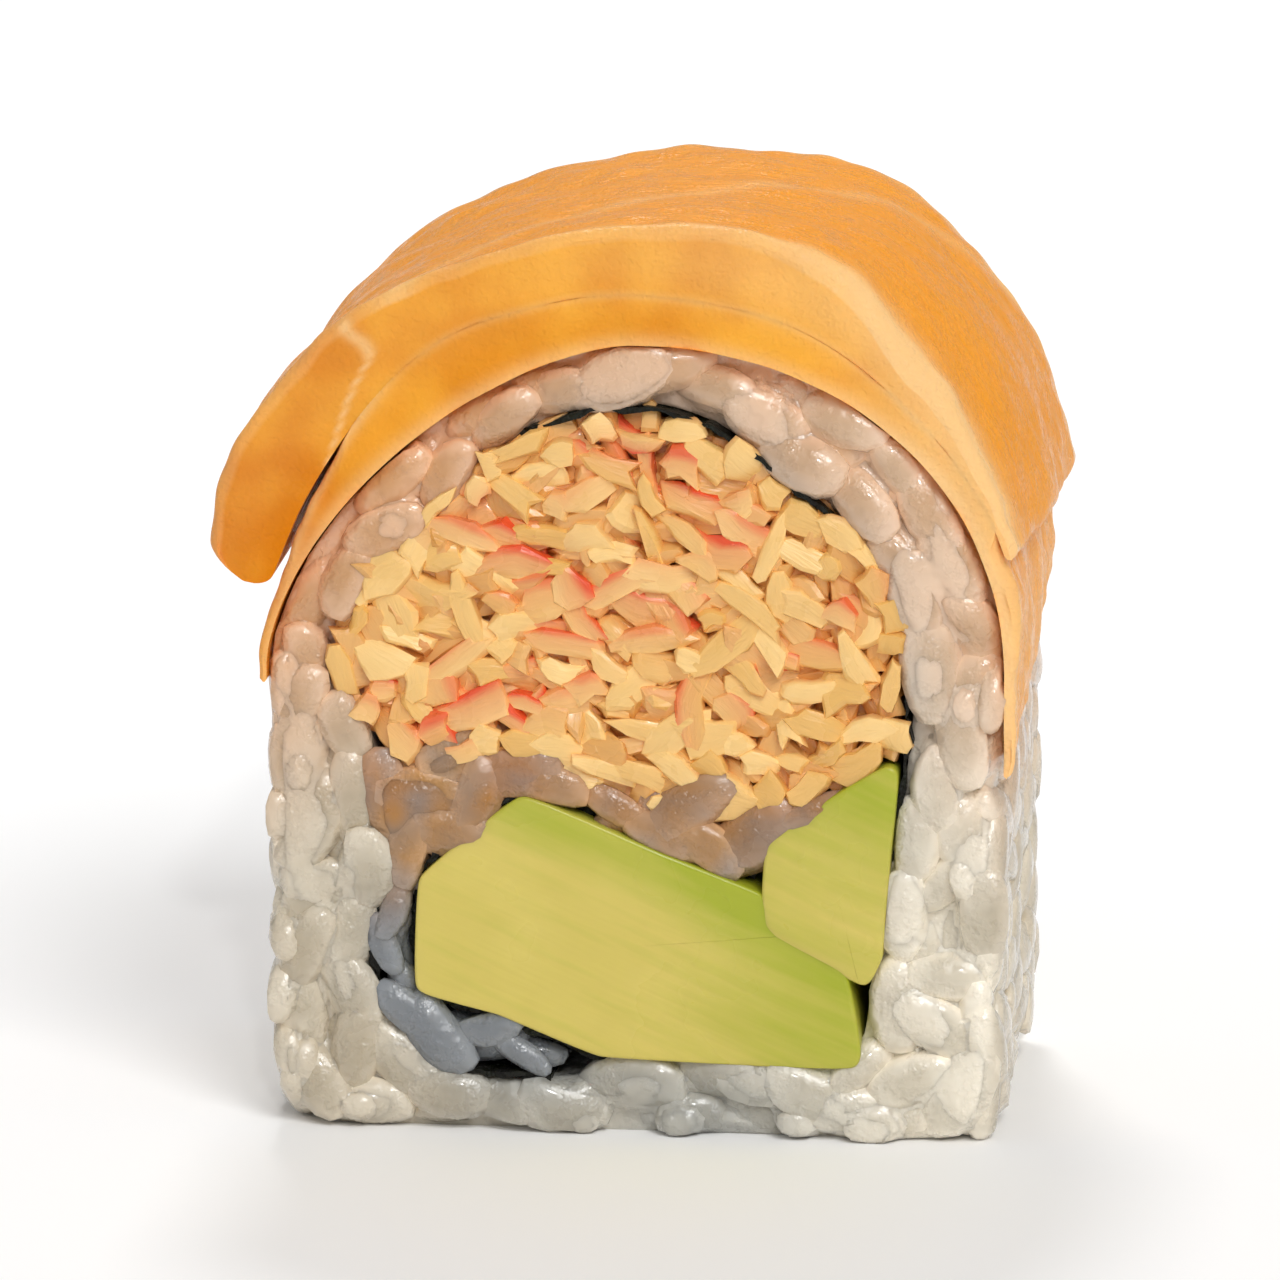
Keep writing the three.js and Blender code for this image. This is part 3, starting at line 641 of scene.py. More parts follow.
def ranged(tree, value, start, end, interpolation="LINEAR"):
    """A value that runs between the two ends as it goes from one start to the other, and stops there."""
    inputs = {"Value": value, "From Min": start[0], "From Max": start[1], "To Min": end[0], "To Max": end[1]}
    return add_node(tree, "ShaderNodeMapRange", inputs, interpolation_type=interpolation).outputs[0]


def attribute(tree, name, output="Fac"):
    return add_node(tree, "ShaderNodeAttribute", {}, attribute_name=name).outputs[output]


def scaled(colour, factors):
    return tuple(min(1, part * factor) for part, factor in zip(colour, factors))


def value_group(name, inputs):
    """A new shader node group that makes a value from a vector and named numbers, and its two end nodes."""
    tree = bpy.data.node_groups.new(name, "ShaderNodeTree")
    tree.interface.new_socket("Vector", in_out="INPUT", socket_type="NodeSocketVector")
    for label, default in inputs.items():
        socket = tree.interface.new_socket(label, in_out="INPUT", socket_type="NodeSocketFloat")
        socket.default_value = default
    tree.interface.new_socket("Value", in_out="OUTPUT", socket_type="NodeSocketFloat")
    return tree, tree.nodes.new("NodeGroupInput").outputs, tree.nodes.new("NodeGroupOutput").inputs["Value"]


def mottle_group():
    """Soft cloudy patches: noise of one size, stretched between two levels so that it covers 0 to 1."""
    tree, given, result = value_group("Mottle", {"Size": 2 * MM, "Detail": 3.0})
    scale = calculate(tree, "DIVIDE", 1.0, given["Size"])
    inputs = {"Vector": given["Vector"], "Scale": scale, "Detail": given["Detail"]}
    noise = add_node(tree, "ShaderNodeTexNoise", inputs).outputs[0]
    feed(tree, result, ranged(tree, noise, (0.34, 0.66), (0, 1), "SMOOTHSTEP"))


def fibre_group():
    """Fine lines along X: noise whose places are squeezed along X, so each patch is long that way."""
    tree, given, result = value_group("Fibres", {"Width": 0.3 * MM, "Stretch": 0.08})
    squeeze = add_node(tree, "ShaderNodeCombineXYZ", {"X": given["Stretch"], "Y": 1.0, "Z": 1.0}).outputs[0]
    inputs = {0: given["Vector"], 1: squeeze}
    places = add_node(tree, "ShaderNodeVectorMath", inputs, operation="MULTIPLY").outputs[0]
    scale = calculate(tree, "DIVIDE", 1.0, given["Width"])
    inputs = {"Vector": places, "Scale": scale, "Detail": 2.0, "Roughness": 0.6}
    feed(tree, result, add_node(tree, "ShaderNodeTexNoise", inputs).outputs[0])


def grouped(tree, group, vector, **values):
    """The value of a group at a vector, with its named numbers."""
    inputs = {"Vector": vector} | {name.title(): value for name, value in values.items()}
    return add_node(tree, "ShaderNodeGroup", inputs, node_tree=bpy.data.node_groups[group]).outputs["Value"]


def new_material(name, roughness, subsurface=0.0, radius=(1, 1, 1), depth=MM, coat=0.0, specular=0.5):
    """A moist material that light enters, with the tree, shader and object coordinates to finish it with."""
    material = bpy.data.materials.new(name)
    material.use_nodes = True
    tree = material.node_tree
    shader = next(node for node in tree.nodes if node.type == "BSDF_PRINCIPLED")
    shader.subsurface_method = "BURLEY"
    settings = {
        "Roughness": roughness, "Subsurface Weight": subsurface, "Subsurface Radius": radius,
        "Subsurface Scale": depth, "Coat Weight": coat, "Coat Roughness": 0.1, "Specular IOR Level": specular,
    }
    for label, value in settings.items():
        shader.inputs[label].default_value = value
    return material, tree, shader.inputs, add_node(tree, "ShaderNodeTexCoord", {}).outputs["Object"]


def set_surface(tree, shader, colour, patches, dull, shiny, height, relief):
    """Gives the shader its colour, a roughness that goes from dull to shiny over wet patches, and a relief
    that is worth a distance where the height goes from 0 to 1."""
    feed(tree, shader["Base Color"], colour)
    feed(tree, shader["Roughness"], ranged(tree, patches, (0, 1), (dull, shiny)))
    bump = add_node(tree, "ShaderNodeBump", {"Height": height, "Distance": relief, "Strength": 1.0})
    feed(tree, shader["Normal"], bump.outputs[0])


def rice_material(name, plain, blush, shade, coat):
    """Cooked rice: cream grains that differ a little, mixed between lighter and darker copies partly as
    painted light, paler round their edges partly as painted light, tinted and given painted shade under the
    salmon, and grey over the seaweed."""
    material, tree, shader, where = new_material(
        name, roughness=0.3, subsurface=0.6, radius=(1.0, 0.88, 0.75), depth=0.7 * MM, coat=coat
    )
    # Lighter and darker copies: the outer rice's tint mixes them partly as painted light and shade across the
    # piece
    lighter, darker = scaled(plain, (1.14, 1.18, 1.24)), scaled(plain, (0.66, 0.63, 0.58))
    cloud = grouped(tree, "Mottle", where, size=3.5 * MM)
    colour = mix_colours(tree, attribute(tree, "tint"), darker, lighter)
    colour = mix_colours(tree, calculate(tree, "MULTIPLY", cloud, 0.35), colour, darker)
    # The salmon's tint, with painted shade under the salmon
    colour = mix_colours(tree, attribute(tree, "blush"), colour, blush)
    colour = mix_colours(tree, attribute(tree, "backing"), colour, shade)
    # A brightened copy for the grains' rims: partly a pale film where they meet, partly painted light on
    # their edges
    bright = {"Color": colour, "Value": 1.45, "Saturation": 0.8}
    rim = add_node(tree, "ShaderNodeHueSaturation", bright).outputs["Color"]
    colour = mix_colours(tree, calculate(tree, "MULTIPLY", attribute(tree, "rim"), 0.85), colour, rim)
    sticky = grouped(tree, "Mottle", where, size=1.4 * MM)
    grit = calculate(tree, "MULTIPLY", grouped(tree, "Mottle", where, size=0.28 * MM, detail=1.0), 0.6)
    lumps = grouped(tree, "Mottle", where, size=1.1 * MM, detail=1.0)
    height = calculate(tree, "ADD", calculate(tree, "MULTIPLY", grit, sticky), lumps)
    set_surface(tree, shader, colour, sticky, 0.36, 0.16, height, 0.08 * MM)
    return material


def seaweed_material(colour):
    """Damp seaweed: nearly black with a green cast, crinkled all over."""
    material, tree, shader, where = new_material("seaweed", roughness=0.4, specular=0.25)
    patches = grouped(tree, "Mottle", where, size=1.5 * MM, detail=6.0)
    crinkle = grouped(tree, "Mottle", where, size=0.5 * MM, detail=5.0)
    shades = mix_colours(tree, patches, colour, scaled(colour, (1.2, 1.8, 0.8)))
    set_surface(tree, shader, shades, patches, 0.55, 0.25, crinkle, 0.15 * MM)
    return material


def crab_material(flesh, gap, red):
    """Shredded crab stick: cream flesh with fibres along each shred, orange painted shade in the gaps, red on
    its skin. The skin is at a shred's far edge, with a pink wash over the rest of it."""
    material, tree, shader, where = new_material(
        "crab", roughness=0.34, subsurface=0.55, radius=(1.0, 0.78, 0.48), depth=0.6 * MM, coat=0.2
    )
    fibres = grouped(tree, "Fibres", attribute(tree, "fibre", "Vector"), width=0.22 * MM, stretch=0.12)
    cloud = grouped(tree, "Mottle", where, size=2.5 * MM)
    paler, yolk = scaled(flesh, (1.14, 1.2, 1.35)), scaled(flesh, (0.9, 0.78, 0.55))
    pink = tuple(0.6 * a + 0.4 * b for a, b in zip(flesh, red))
    colour = mix_colours(tree, attribute(tree, "tint"), yolk, paler)
    colour = mix_colours(tree, calculate(tree, "MULTIPLY", cloud, 0.3), colour, yolk)
    # Painted shade in the gaps between the shreds and under them
    colour = mix_colours(tree, attribute(tree, "hollow"), colour, gap)
    redness, edge = attribute(tree, "red"), attribute(tree, "edge")
    nearer = calculate(tree, "ADD", ranged(tree, edge, (-0.7, 0.7), (0, 1)), 0.35)
    colour = mix_colours(tree, calculate(tree, "MULTIPLY", redness, nearer, clamped=True), colour, pink)
    skin = ranged(tree, edge, (0.3, 0.75), (0, 1))
    reddest = calculate(tree, "SUBTRACT", redness, 0.25, clamped=True)
    streak = calculate(tree, "MULTIPLY", calculate(tree, "MULTIPLY", skin, reddest), 1.5, clamped=True)
    colour = mix_colours(tree, streak, colour, red)
    set_surface(tree, shader, colour, cloud, 0.45, 0.22, fibres, 0.08 * MM)
    return material


def avocado_material(pale, green):
    """Cut avocado: buttery in the middle, green near its skin, with faint streaks from the knife."""
    material, tree, shader, where = new_material(
        "avocado", roughness=0.3, subsurface=0.45, radius=(0.9, 1.0, 0.3), coat=0.15, specular=0.35
    )
    slant = {"Vector": where, "Rotation": (0, math.radians(-24), 0)}
    slanted = add_node(tree, "ShaderNodeMapping", slant).outputs[0]
    streaks = grouped(tree, "Fibres", slanted, width=0.9 * MM, stretch=0.1)
    cloud = grouped(tree, "Mottle", where, size=5 * MM)
    near_skin = calculate(tree, "MULTIPLY_ADD", streaks, 0.9, attribute(tree, "green"))
    colour = mix_colours(tree, cloud, pale, scaled(pale, (1.05, 1.05, 1.1)))
    colour = mix_colours(tree, calculate(tree, "SUBTRACT", near_skin, 0.45, clamped=True), colour, green)
    set_surface(tree, shader, colour, cloud, 0.42, 0.24, streaks, 0.05 * MM)
    return material


def salmon_material(cut, deep, outside, fat):
    """Cured salmon: a yellow-orange cut face, deeper in clouds and where the deep value is high, which is
    painted shade on the left, an outer surface with fine lines along the slice, and pale lines of fat with
    painted highlights and painted light. The flesh value holds the distance along, the place along the roll
    and the height."""
    material, tree, shader, where = new_material(
        "salmon", roughness=0.34, subsurface=0.4, radius=(1.0, 0.5, 0.14), depth=0.5 * MM, specular=0.06
    )
    flesh = attribute(tree, "flesh", "Vector")
    cloud = grouped(tree, "Mottle", where, size=6 * MM, detail=2.0)
    small_cloud = grouped(tree, "Mottle", where, size=1.6 * MM)
    hairs = grouped(tree, "Fibres", flesh, width=0.45 * MM, stretch=0.06)
    bands = grouped(tree, "Fibres", flesh, width=2.2 * MM, stretch=0.06)
    on_cut = attribute(tree, "cut")
    # The deep value is painted shade on the left of the cut and painted light on the right
    depth = calculate(tree, "MULTIPLY_ADD", cloud, 0.6, attribute(tree, "deep"))
    brown = scaled(outside, (0.88, 0.72, 0.5))
    outer = mix_colours(tree, calculate(tree, "MULTIPLY", bands, 0.5), outside, brown)
    outer = mix_colours(tree, calculate(tree, "MULTIPLY", hairs, 0.18), outer, fat)
    colour = mix_colours(tree, on_cut, outer, mix_colours(tree, depth, cut, deep))
    # Pale lines of fat, with painted highlights and painted light
    colour = mix_colours(tree, attribute(tree, "fat"), colour, fat)
    fine = calculate(tree, "MULTIPLY", hairs, calculate(tree, "SUBTRACT", 1.15, on_cut))
    beads = calculate(tree, "MULTIPLY", grouped(tree, "Mottle", where, size=0.3 * MM, detail=1.0), 0.3)
    lumps = calculate(tree, "ADD", beads, calculate(tree, "MULTIPLY", small_cloud, 0.35))
    height = calculate(tree, "ADD", fine, lumps)
    set_surface(tree, shader, colour, small_cloud, 0.4, 0.18, height, 0.1 * MM)
    return material


def floor_material():
    """A plain pale tabletop with a hint of cloudiness."""
    material, tree, shader, where = new_material("floor", roughness=0.6, specular=0.2)
    cloud = grouped(tree, "Mottle", where, size=0.3)
    feed(tree, shader["Base Color"], mix_colours(tree, cloud, (0.96, 0.96, 0.96), (0.98, 0.98, 0.98)))
    return material


# Pieces


def rice_values(points, tint, rim):
    """The values that colour the rice: its own tint, with painted light that makes it paler to the right and
    painted shade on the right wall, how near the rim of its grain it is, for its partly painted pale edge,
    how far the salmon tints it, with painted shade under it, and how far the seaweed shows through it."""
    section = points[:, (0, 2)]
    x, z = section.T
    to_loop, _, _ = against_line(section, LOOP)
    # Painted light and shade: paler to the right, where the light falls, and darker again on the right wall
    side = smooth_step(x, -14 * MM, 16 * MM) - 0.9 * smooth_step(x, 19 * MM, 20 * MM)
    # The salmon's tint, with painted shade under it: more on the left, under the flap, less to the right
    blush = smooth_step(z + 0.15 * x**2 / (8 * MM), 20 * MM, 36 * MM) * (0.8 + 0.2 * tint - 0.25 * side)
    low = 1 - smooth_step(z, 1.5 * MM, 8 * MM)
    middle = np.exp(-(((x - 1 * MM) / (11 * MM)) ** 4))
    near = np.exp(-to_loop / (1.1 * MM)) * (1 - hidden_sheet(section))
    patches = 0.5 + 0.5 * waves(points, 9 * MM, 11)
    backing = 0.5 * near + low * middle * (0.45 + 0.4 * patches)
    tint = np.clip(0.3 * tint + 0.7 * side, 0, 1)
    return {"tint": tint, "blush": np.clip(blush, 0, 1), "backing": np.clip(backing, 0, 0.9), "rim": rim}


def inner_rice_values(points, tint, rim):
    """The values that colour the inner rice: brown painted shade under the crab above, grey over the seaweed
    below, and paler at the lower left."""
    x, z = points[:, 0], points[:, 2]
    # Painted shade: brown where the crab lies over the rice
    blush = smooth_step(z, 16 * MM, 20 * MM) * (0.35 + 0.35 * waves(points, 6 * MM, 61))
    backing = 1 - smooth_step(z, 10 * MM, 17 * MM) * (0.75 + 0.25 * waves(points, 3 * MM, 62))
    paler = (1 - smooth_step(x, -14 * MM, -10 * MM)) * (1 - smooth_step(z, 13 * MM, 18 * MM))
    tint = np.clip(tint * (1 - 0.5 * paler) + 0.65 * paler, 0, 1)
    return {"tint": tint, "blush": np.clip(blush, 0, 1), "backing": np.clip(backing, 0, 1), "rim": rim}


def rims_of(template, count):
    """How near each point of each grain is to the grain's outline, as its flat side shows it."""
    return np.tile(smooth_step(np.hypot(template[:, 0], template[:, 1]), 0.45, 0.95), count)


def spread_grains(sizes, places, angle, face, depth, rng, lean=0.35, tilt=0.3):
    """A lot of grains at places on a face. The face is the two directions that it spans and the one that it
    looks in. Each grain lies in it at its own angle, and its middle is a distance along the look."""
    first, second, outward = (np.array(axis, float) for axis in face)
    count = len(places)
    along = np.cos(angle)[:, None] * first + np.sin(angle)[:, None] * second
    along = along + rng.uniform(-lean, lean, (count, 1)) * outward
    out = outward + rng.uniform(-tilt, tilt, (count, 1)) * first
    out = out + rng.uniform(-tilt, tilt, (count, 1)) * second
    size = np.array((sizes.grain_length, sizes.grain_width, sizes.grain_thickness)) / 2
    size = size * rng.uniform(0.82, 1.12, (count, 1)) * rng.uniform(0.92, 1.08, (count, 3))
    centres = places[:, :1] * first + places[:, 1:2] * second + depth[:, None] * outward
    bend, taper = rng.uniform(-0.2, 0.2, count), rng.uniform(-0.12, 0.12, count)
    return Lot(centres, axes_of(along, out), size, bend, taper)


def anywhere(places):
    return np.ones(len(places), bool)


def cut_face(side):
    """The cut on one side, as the two directions that it spans and the one that it looks in."""
    return (1, 0, 0), (0, 0, 1), (0, side, 0)


# How far the middle of a grain stays from the seaweed, how much nearer it comes where the food closes over
# the sheet, how far it stays from the wall at a cut, and on a wall and the base from the cuts and corners
GRAIN_TO_SHEET = 1.2 * MM
NEARER_WHERE_CLOSED = 0.9 * MM
GRAIN_TO_WALL = 0.85 * MM
GRAIN_TO_CUT = 1.4 * MM
GRAIN_TO_CORNER = 2.6 * MM
# Where the grains on the left and right wall end, and how far and from what height the wall draws in below
WALL_GRAINS_END = {-1: 25 * MM, 1: 27 * MM}
FOOT_INSET = 1.6 * MM
FOOT_TOP = 4.5 * MM
# The spacing of each layer as a share of the grain spacing, how far the first one lies inside, how much
# further the next one does, and how unevenly, in millimetres
CUT_SPREAD = (1.08, 1.0)
CUT_DEPTH, CUT_LAYER, CUT_UNEVEN = 0.7, 0.95, 0.6
WALL_SPREAD = (1.1, 1.2)
WALL_DEPTH, WALL_LAYER = 0.65, 1.0
BASE_SPREAD = 1.1
BASE_DEPTH = 0.8
# The share of its half height that the lowest grain's middle stands above the base
LOWEST_MIDDLE = 0.8


def outer_rice_grains(sizes):
    """All the grains that show on the outer rice: two layers on each cut and wall, and one at the base. A
    grain at a cut lies along the seaweed or the wall, whichever is nearer, and more freely between them. The
    walls draw in towards the base."""
    rng = np.random.default_rng(5)
    lots = []

    def on_ring(places):
        to_loop, _, in_loop = against_line(places, LOOP)
        to_edge, _, in_block = against_line(places, OUTLINE)
        clear = to_loop > GRAIN_TO_SHEET - NEARER_WHERE_CLOSED * hidden_sheet(places, LOOP_START)
        return ~in_loop & in_block & clear & (to_edge > GRAIN_TO_WALL)

    for side in (-1, 1):
        for layer, spread in enumerate(CUT_SPREAD):
            low, high = (-HALF_WIDTH, 0.6 * MM), (HALF_WIDTH, BLOCK_HEIGHT)
            places = scattered(rng, low, high, sizes.grain_spacing * spread, on_ring)
            count = len(places)
            to_loop, loop_angle, _ = against_line(places, LOOP)
            to_edge, edge_angle, _ = against_line(places, OUTLINE)
            free = smooth_step(np.minimum(to_loop, to_edge), 1.2 * MM, 3.2 * MM)
            angle = np.where(to_loop < to_edge, loop_angle, edge_angle)
            angle = angle + rng.uniform(-1.2, 1.2, count) * (0.25 + free)
            depth = CUT - (CUT_DEPTH + CUT_LAYER * layer) * MM - rng.uniform(0, CUT_UNEVEN, count) * MM
            lots.append(spread_grains(sizes, places, angle, cut_face(side), depth, rng))
        for layer, spread in enumerate(WALL_SPREAD):
            low, high = (-CUT + GRAIN_TO_CUT, 1.3 * MM), (CUT - GRAIN_TO_CUT, WALL_GRAINS_END[side])
            places = scattered(rng, low, high, sizes.grain_spacing * spread, anywhere)
            depth = np.full(len(places), HALF_WIDTH - (WALL_DEPTH + WALL_LAYER * layer) * MM)
            depth -= FOOT_INSET * (1 - smooth_step(places[:, 1], 0, FOOT_TOP)) ** 2
            angle = rng.uniform(0, math.pi, len(places))
            lots.append(spread_grains(sizes, places, angle, ((0, 1, 0), (0, 0, 1), (side, 0, 0)), depth, rng))
    high = np.array((HALF_WIDTH - GRAIN_TO_CORNER, CUT - GRAIN_TO_CUT))
    places = scattered(rng, -high, high, sizes.grain_spacing * BASE_SPREAD, anywhere)
    angle, depth = rng.uniform(0, math.pi, len(places)), np.full(len(places), -BASE_DEPTH * MM)
    lots.append(spread_grains(sizes, places, angle, ((1, 0, 0), (0, 1, 0), (0, 0, -1)), depth, rng))
    lot = joined(lots)
    half_tall = np.linalg.norm(lot.radii * lot.axes[:, :, 2], axis=1)
    lot.centres[:, 2] = np.maximum(lot.centres[:, 2], LOWEST_MIDDLE * half_tall)
    return lot


def pressed(points, softness, spare=0.0):
    """Points pressed flat by the knife at both cuts, below and under the salmon. Each may stand out further
    than the flat by its spare distance."""
    x, y, z = np.moveaxis(points, -1, 0)
    furthest = CUT + 0.05 * MM + (0.12 * MM * waves(points, 5 * MM, 21) + spare)
    along = np.sign(y) * soft_limit(np.abs(y), furthest, softness)
    across = np.sign(x) * soft_limit(np.abs(x), HALF_WIDTH + 0.35 * MM + spare, softness)
    up = np.maximum(-soft_limit(-z, 0.0, softness), 0)
    flat = np.stack((across, up), axis=-1).reshape(-1, 2)
    distance, _, inside = against_line(flat, OUTLINE)
    over = (~inside) & (flat[:, 1] > SHOULDER_HEIGHT) & (distance > 0.05 * MM)
    pull = flat - (0.0, SHOULDER_HEIGHT - 6 * MM)
    pull /= np.maximum(np.linalg.norm(pull, axis=1), 1e-9)[:, None]
    flat[over] -= pull[over] * (distance[over] * 1.15)[:, None]
    return in_section(flat.reshape(*along.shape, 2), along)


def make_grains(name, lot, sizes, material, values_of, rng):
    """The grains of a lot as one piece, pressed flat, each with its own tint."""
    template, quads, triangles = grain_template()
    spare = rng.uniform(LEAST_SPARE, MOST_SPARE, (len(lot.centres), 1)) * MM
    grains = pressed(copies_of(template, lot), sizes.knife_softness, spare)
    tint = np.repeat(rng.uniform(0, 1, len(grains)), len(template))
    points = grains.reshape(-1, 3)
    faces = faces_of_copies(quads, triangles, len(template), len(grains))
    values = values_of(points, tint, rims_of(template, len(grains)))
    dressed(new_piece(name + "_grains", points, *faces, material, values), name, name)


def make_outer_rice(sizes, colours):
    """The core goes round between the seaweed, or closes over it, and the wall, which is set in up to the
    wall's top."""
    material = rice_material("outer_rice", colours.rice, colours.rice_blush_and_shade, colours.rice_shade, coat=0.6)
    lot = outer_rice_grains(sizes)
    gap = HALF_SHEET - 0.75 * MM * hidden_sheet(LOOP, LOOP_START)
    inner = LOOP - line_normals(LOOP, closed=True) * gap[:, None]
    inset = WALL_INSET * (1 - smooth_step(OUTLINE[:, 1], WALL_TOP - 4 * MM, WALL_TOP + 4 * MM))
    outer = OUTLINE - np.column_stack((np.sign(OUTLINE[:, 0]) * inset, np.zeros(len(OUTLINE))))
    outer[:, 1] = np.maximum(outer[:, 1], 0.25 * MM)

    def core_values(points):
        return rice_values(points, 0.35 + 0.25 * waves(points, 3 * MM, 4), np.full(len(points), CORE_RIM))

    core = ring_core("outer_rice_core", inner, outer, CUT - CORE_DEPTH, lot, material, core_values)
    dressed(core, "outer_rice", "outer_rice")
    make_grains("outer_rice", lot, sizes, material, rice_values, np.random.default_rng(6))


def inner_rice_grains(sizes, line, half, rng):
    """The grains that show on the inner rice: two layers at each cut along the band's middle line, slimmer
    where the band is thin."""

    def nearest(places):
        gap = np.linalg.norm(places[:, None] - line, axis=-1)
        return gap.argmin(1), gap.min(1)

    def in_band(places):
        best, gap = nearest(places)
        return gap < np.maximum(half[best] - 0.35 * MM, 0.2 * MM)

    lots = []
    for side in (-1, 1):
        for layer in (0, 1):
            places = scattered(rng, (-16 * MM, 3 * MM), (10 * MM, 23 * MM), 2.1 * MM, in_band, 40000)
            best, _ = nearest(places)
            run = np.gradient(line, axis=0)[best]
            angle = np.arctan2(run[:, 1], run[:, 0]) + rng.uniform(-0.5, 0.5, len(places)) * half[best] / MM
            depth = np.full(len(places), CUT - (0.7 + 1.0 * layer) * MM)
            lot = spread_grains(sizes, places, angle, cut_face(side), depth, rng)
            slim = np.clip(half[best] / (1.5 * MM), 0.55, 1.0)[:, None]
            lots.append(lot._replace(radii=lot.radii * np.column_stack((np.sqrt(slim), slim, np.sqrt(slim)))))
    return joined(lots)


def make_inner_rice(sizes, colours):
    """The core is a rounded square drawn along the band, wrapped loosely over the grains at both cuts."""
    # The brown of the painted shade under the crab
    brown_shade = scaled(colours.inner_rice, (0.9, 0.66, 0.42))
    material = rice_material("inner_rice", colours.inner_rice, brown_shade, colours.inner_rice_shade, coat=0.3)
    band = smooth_line(np.array(INNER_RICE_BAND) * MM, 220)
    line, half = band[:, :2], band[:, 2]
    ends = np.linspace(0, 1, len(line))
    half = half * smooth_step(ends, -0.02, 0.05) * smooth_step(1 - ends, -0.02, 0.05)
    rng = np.random.default_rng(17)
    lot = inner_rice_grains(sizes, line, half, rng)

    around = np.linspace(0, 2 * math.pi, 96, endpoint=False)
    square = square_reach(around, 7)
    out = half[:, None] * square * np.cos(around)
    section = line[:, None] + line_normals(line)[:, None] * out[..., None]
    points = in_section(section, square * np.sin(around) * (CUT - CORE_DEPTH))
    normals = grid_normals(points)
    normals[(0, 0, -1, -1), :] = normals[(1, 1, -2, -2), :]
    points, normals = points.reshape(-1, 3), normals.reshape(-1, 3)
    raised = soft_cover(points, normals, lot, INNER_COVER_SOFTNESS, INNER_COVER_SUNK) * np.abs(normals[:, 1])
    points = pressed(points + normals * raised[:, None], CORE_SOFTNESS)
    rings = points.reshape(len(line), len(around), 3)
    points = np.vstack((points, rings[(0, -1), :].mean(1)))
    values = inner_rice_values(points, np.full(len(points), 0.2), np.full(len(points), INNER_CORE_RIM))
    core = new_piece("inner_rice_core", points, *tube_faces(*rings.shape[:2]), material, values)
    dressed(core, "inner_rice", "inner_rice")
    make_grains("inner_rice", lot, sizes, material, inner_rice_values, rng)


def make_seaweed(sizes, colours):
    """The rolled sheet: its middle line, with a flat loop of points round it at each step, thinner and
    thicker by turns, that stops short of the cuts where the food closes over it."""
    distance = np.concatenate(([0], np.linalg.norm(np.diff(SHEET, axis=0), axis=1).cumsum()))[:, None]
    wobble = 0.16 * MM * waves(distance, 3.2 * MM, 31) + 0.1 * MM * waves(distance, 1.1 * MM, 32)
    half = HALF_SHEET * (0.7 + 0.4 * waves(distance, 2.4 * MM, 33))
    recess = (0.25 + 1.5 * (1 - SHOWN)) * MM + 0.15 * MM * (1 + waves(distance, 4 * MM, 34))
    depths = np.linspace(-1, 1, 10)
    side = np.repeat((-1.0, 1.0), len(depths))
    depth = np.concatenate((depths, depths[::-1])) * (CUT - recess[:, None])
    crinkle = 0.1 * MM * waves(stacked(distance, depth), 4 * MM, 35)
    shift = wobble[:, None] * 0.6 + crinkle + half[:, None] * side
    section = SHEET[:, None] + line_normals(SHEET)[:, None] * shift[..., None]
    points = in_section(section, depth)
    vertices = np.vstack((points.reshape(-1, 3), points[(0, -1), :].mean(1)))
    faces = tube_faces(*points.shape[:2])
    piece = new_piece("seaweed_sheet", vertices, *faces, seaweed_material(colours.seaweed), {}, sharp=50)
    dressed(piece, "seaweed", "seaweed")


def crab_outline(inset):
    """The line round the crab, seen from its middle: at each angle, the furthest place that is inside both
    the seaweed and the room above the crab's floor."""
    centre = np.array((-1.0, 29.5)) * MM
    way = heading(np.linspace(0, 2 * math.pi, 180, endpoint=False))
    reach = np.linspace(1, 22, 211) * MM
    flat = (centre + reach[None, :, None] * way[:, None]).reshape(-1, 2)
    room = against_line(flat, LOOP)[2] & against_line(flat, CRAB_ROOM)[2]
    furthest = reach[room.reshape(len(way), len(reach)).cumprod(axis=1).sum(1) - 1]
    inset = inset - 0.5 * MM * hidden_sheet(centre + furthest[:, None] * way)
    return centre + (furthest - inset)[:, None] * way


# The spacing of each layer of shreds as a share of the shred spacing, how far the first one lies inside the
# cut, how much further each next one does, and how unevenly, in millimetres
SHRED_SPREAD = (1.06, 0.9, 0.9)
SHRED_DEPTH, SHRED_LAYER, SHRED_UNEVEN = 0.6, 0.5, 0.45
# How much of the painted gap shade each further layer takes
GAP_SHADE_LAYER = 0.34
# The mean angle of the shreds and its spread, how far they lean and bend, and the smallest and largest ones
SHRED_ANGLE, SHRED_ANGLES = -0.35, 0.65
SHRED_LEAN, SHRED_BEND = 0.38, 0.35
SMALLEST_SHRED, LARGEST_SHRED = (0.4, 0.5, 0.75), (1.35, 1.2, 1.25)


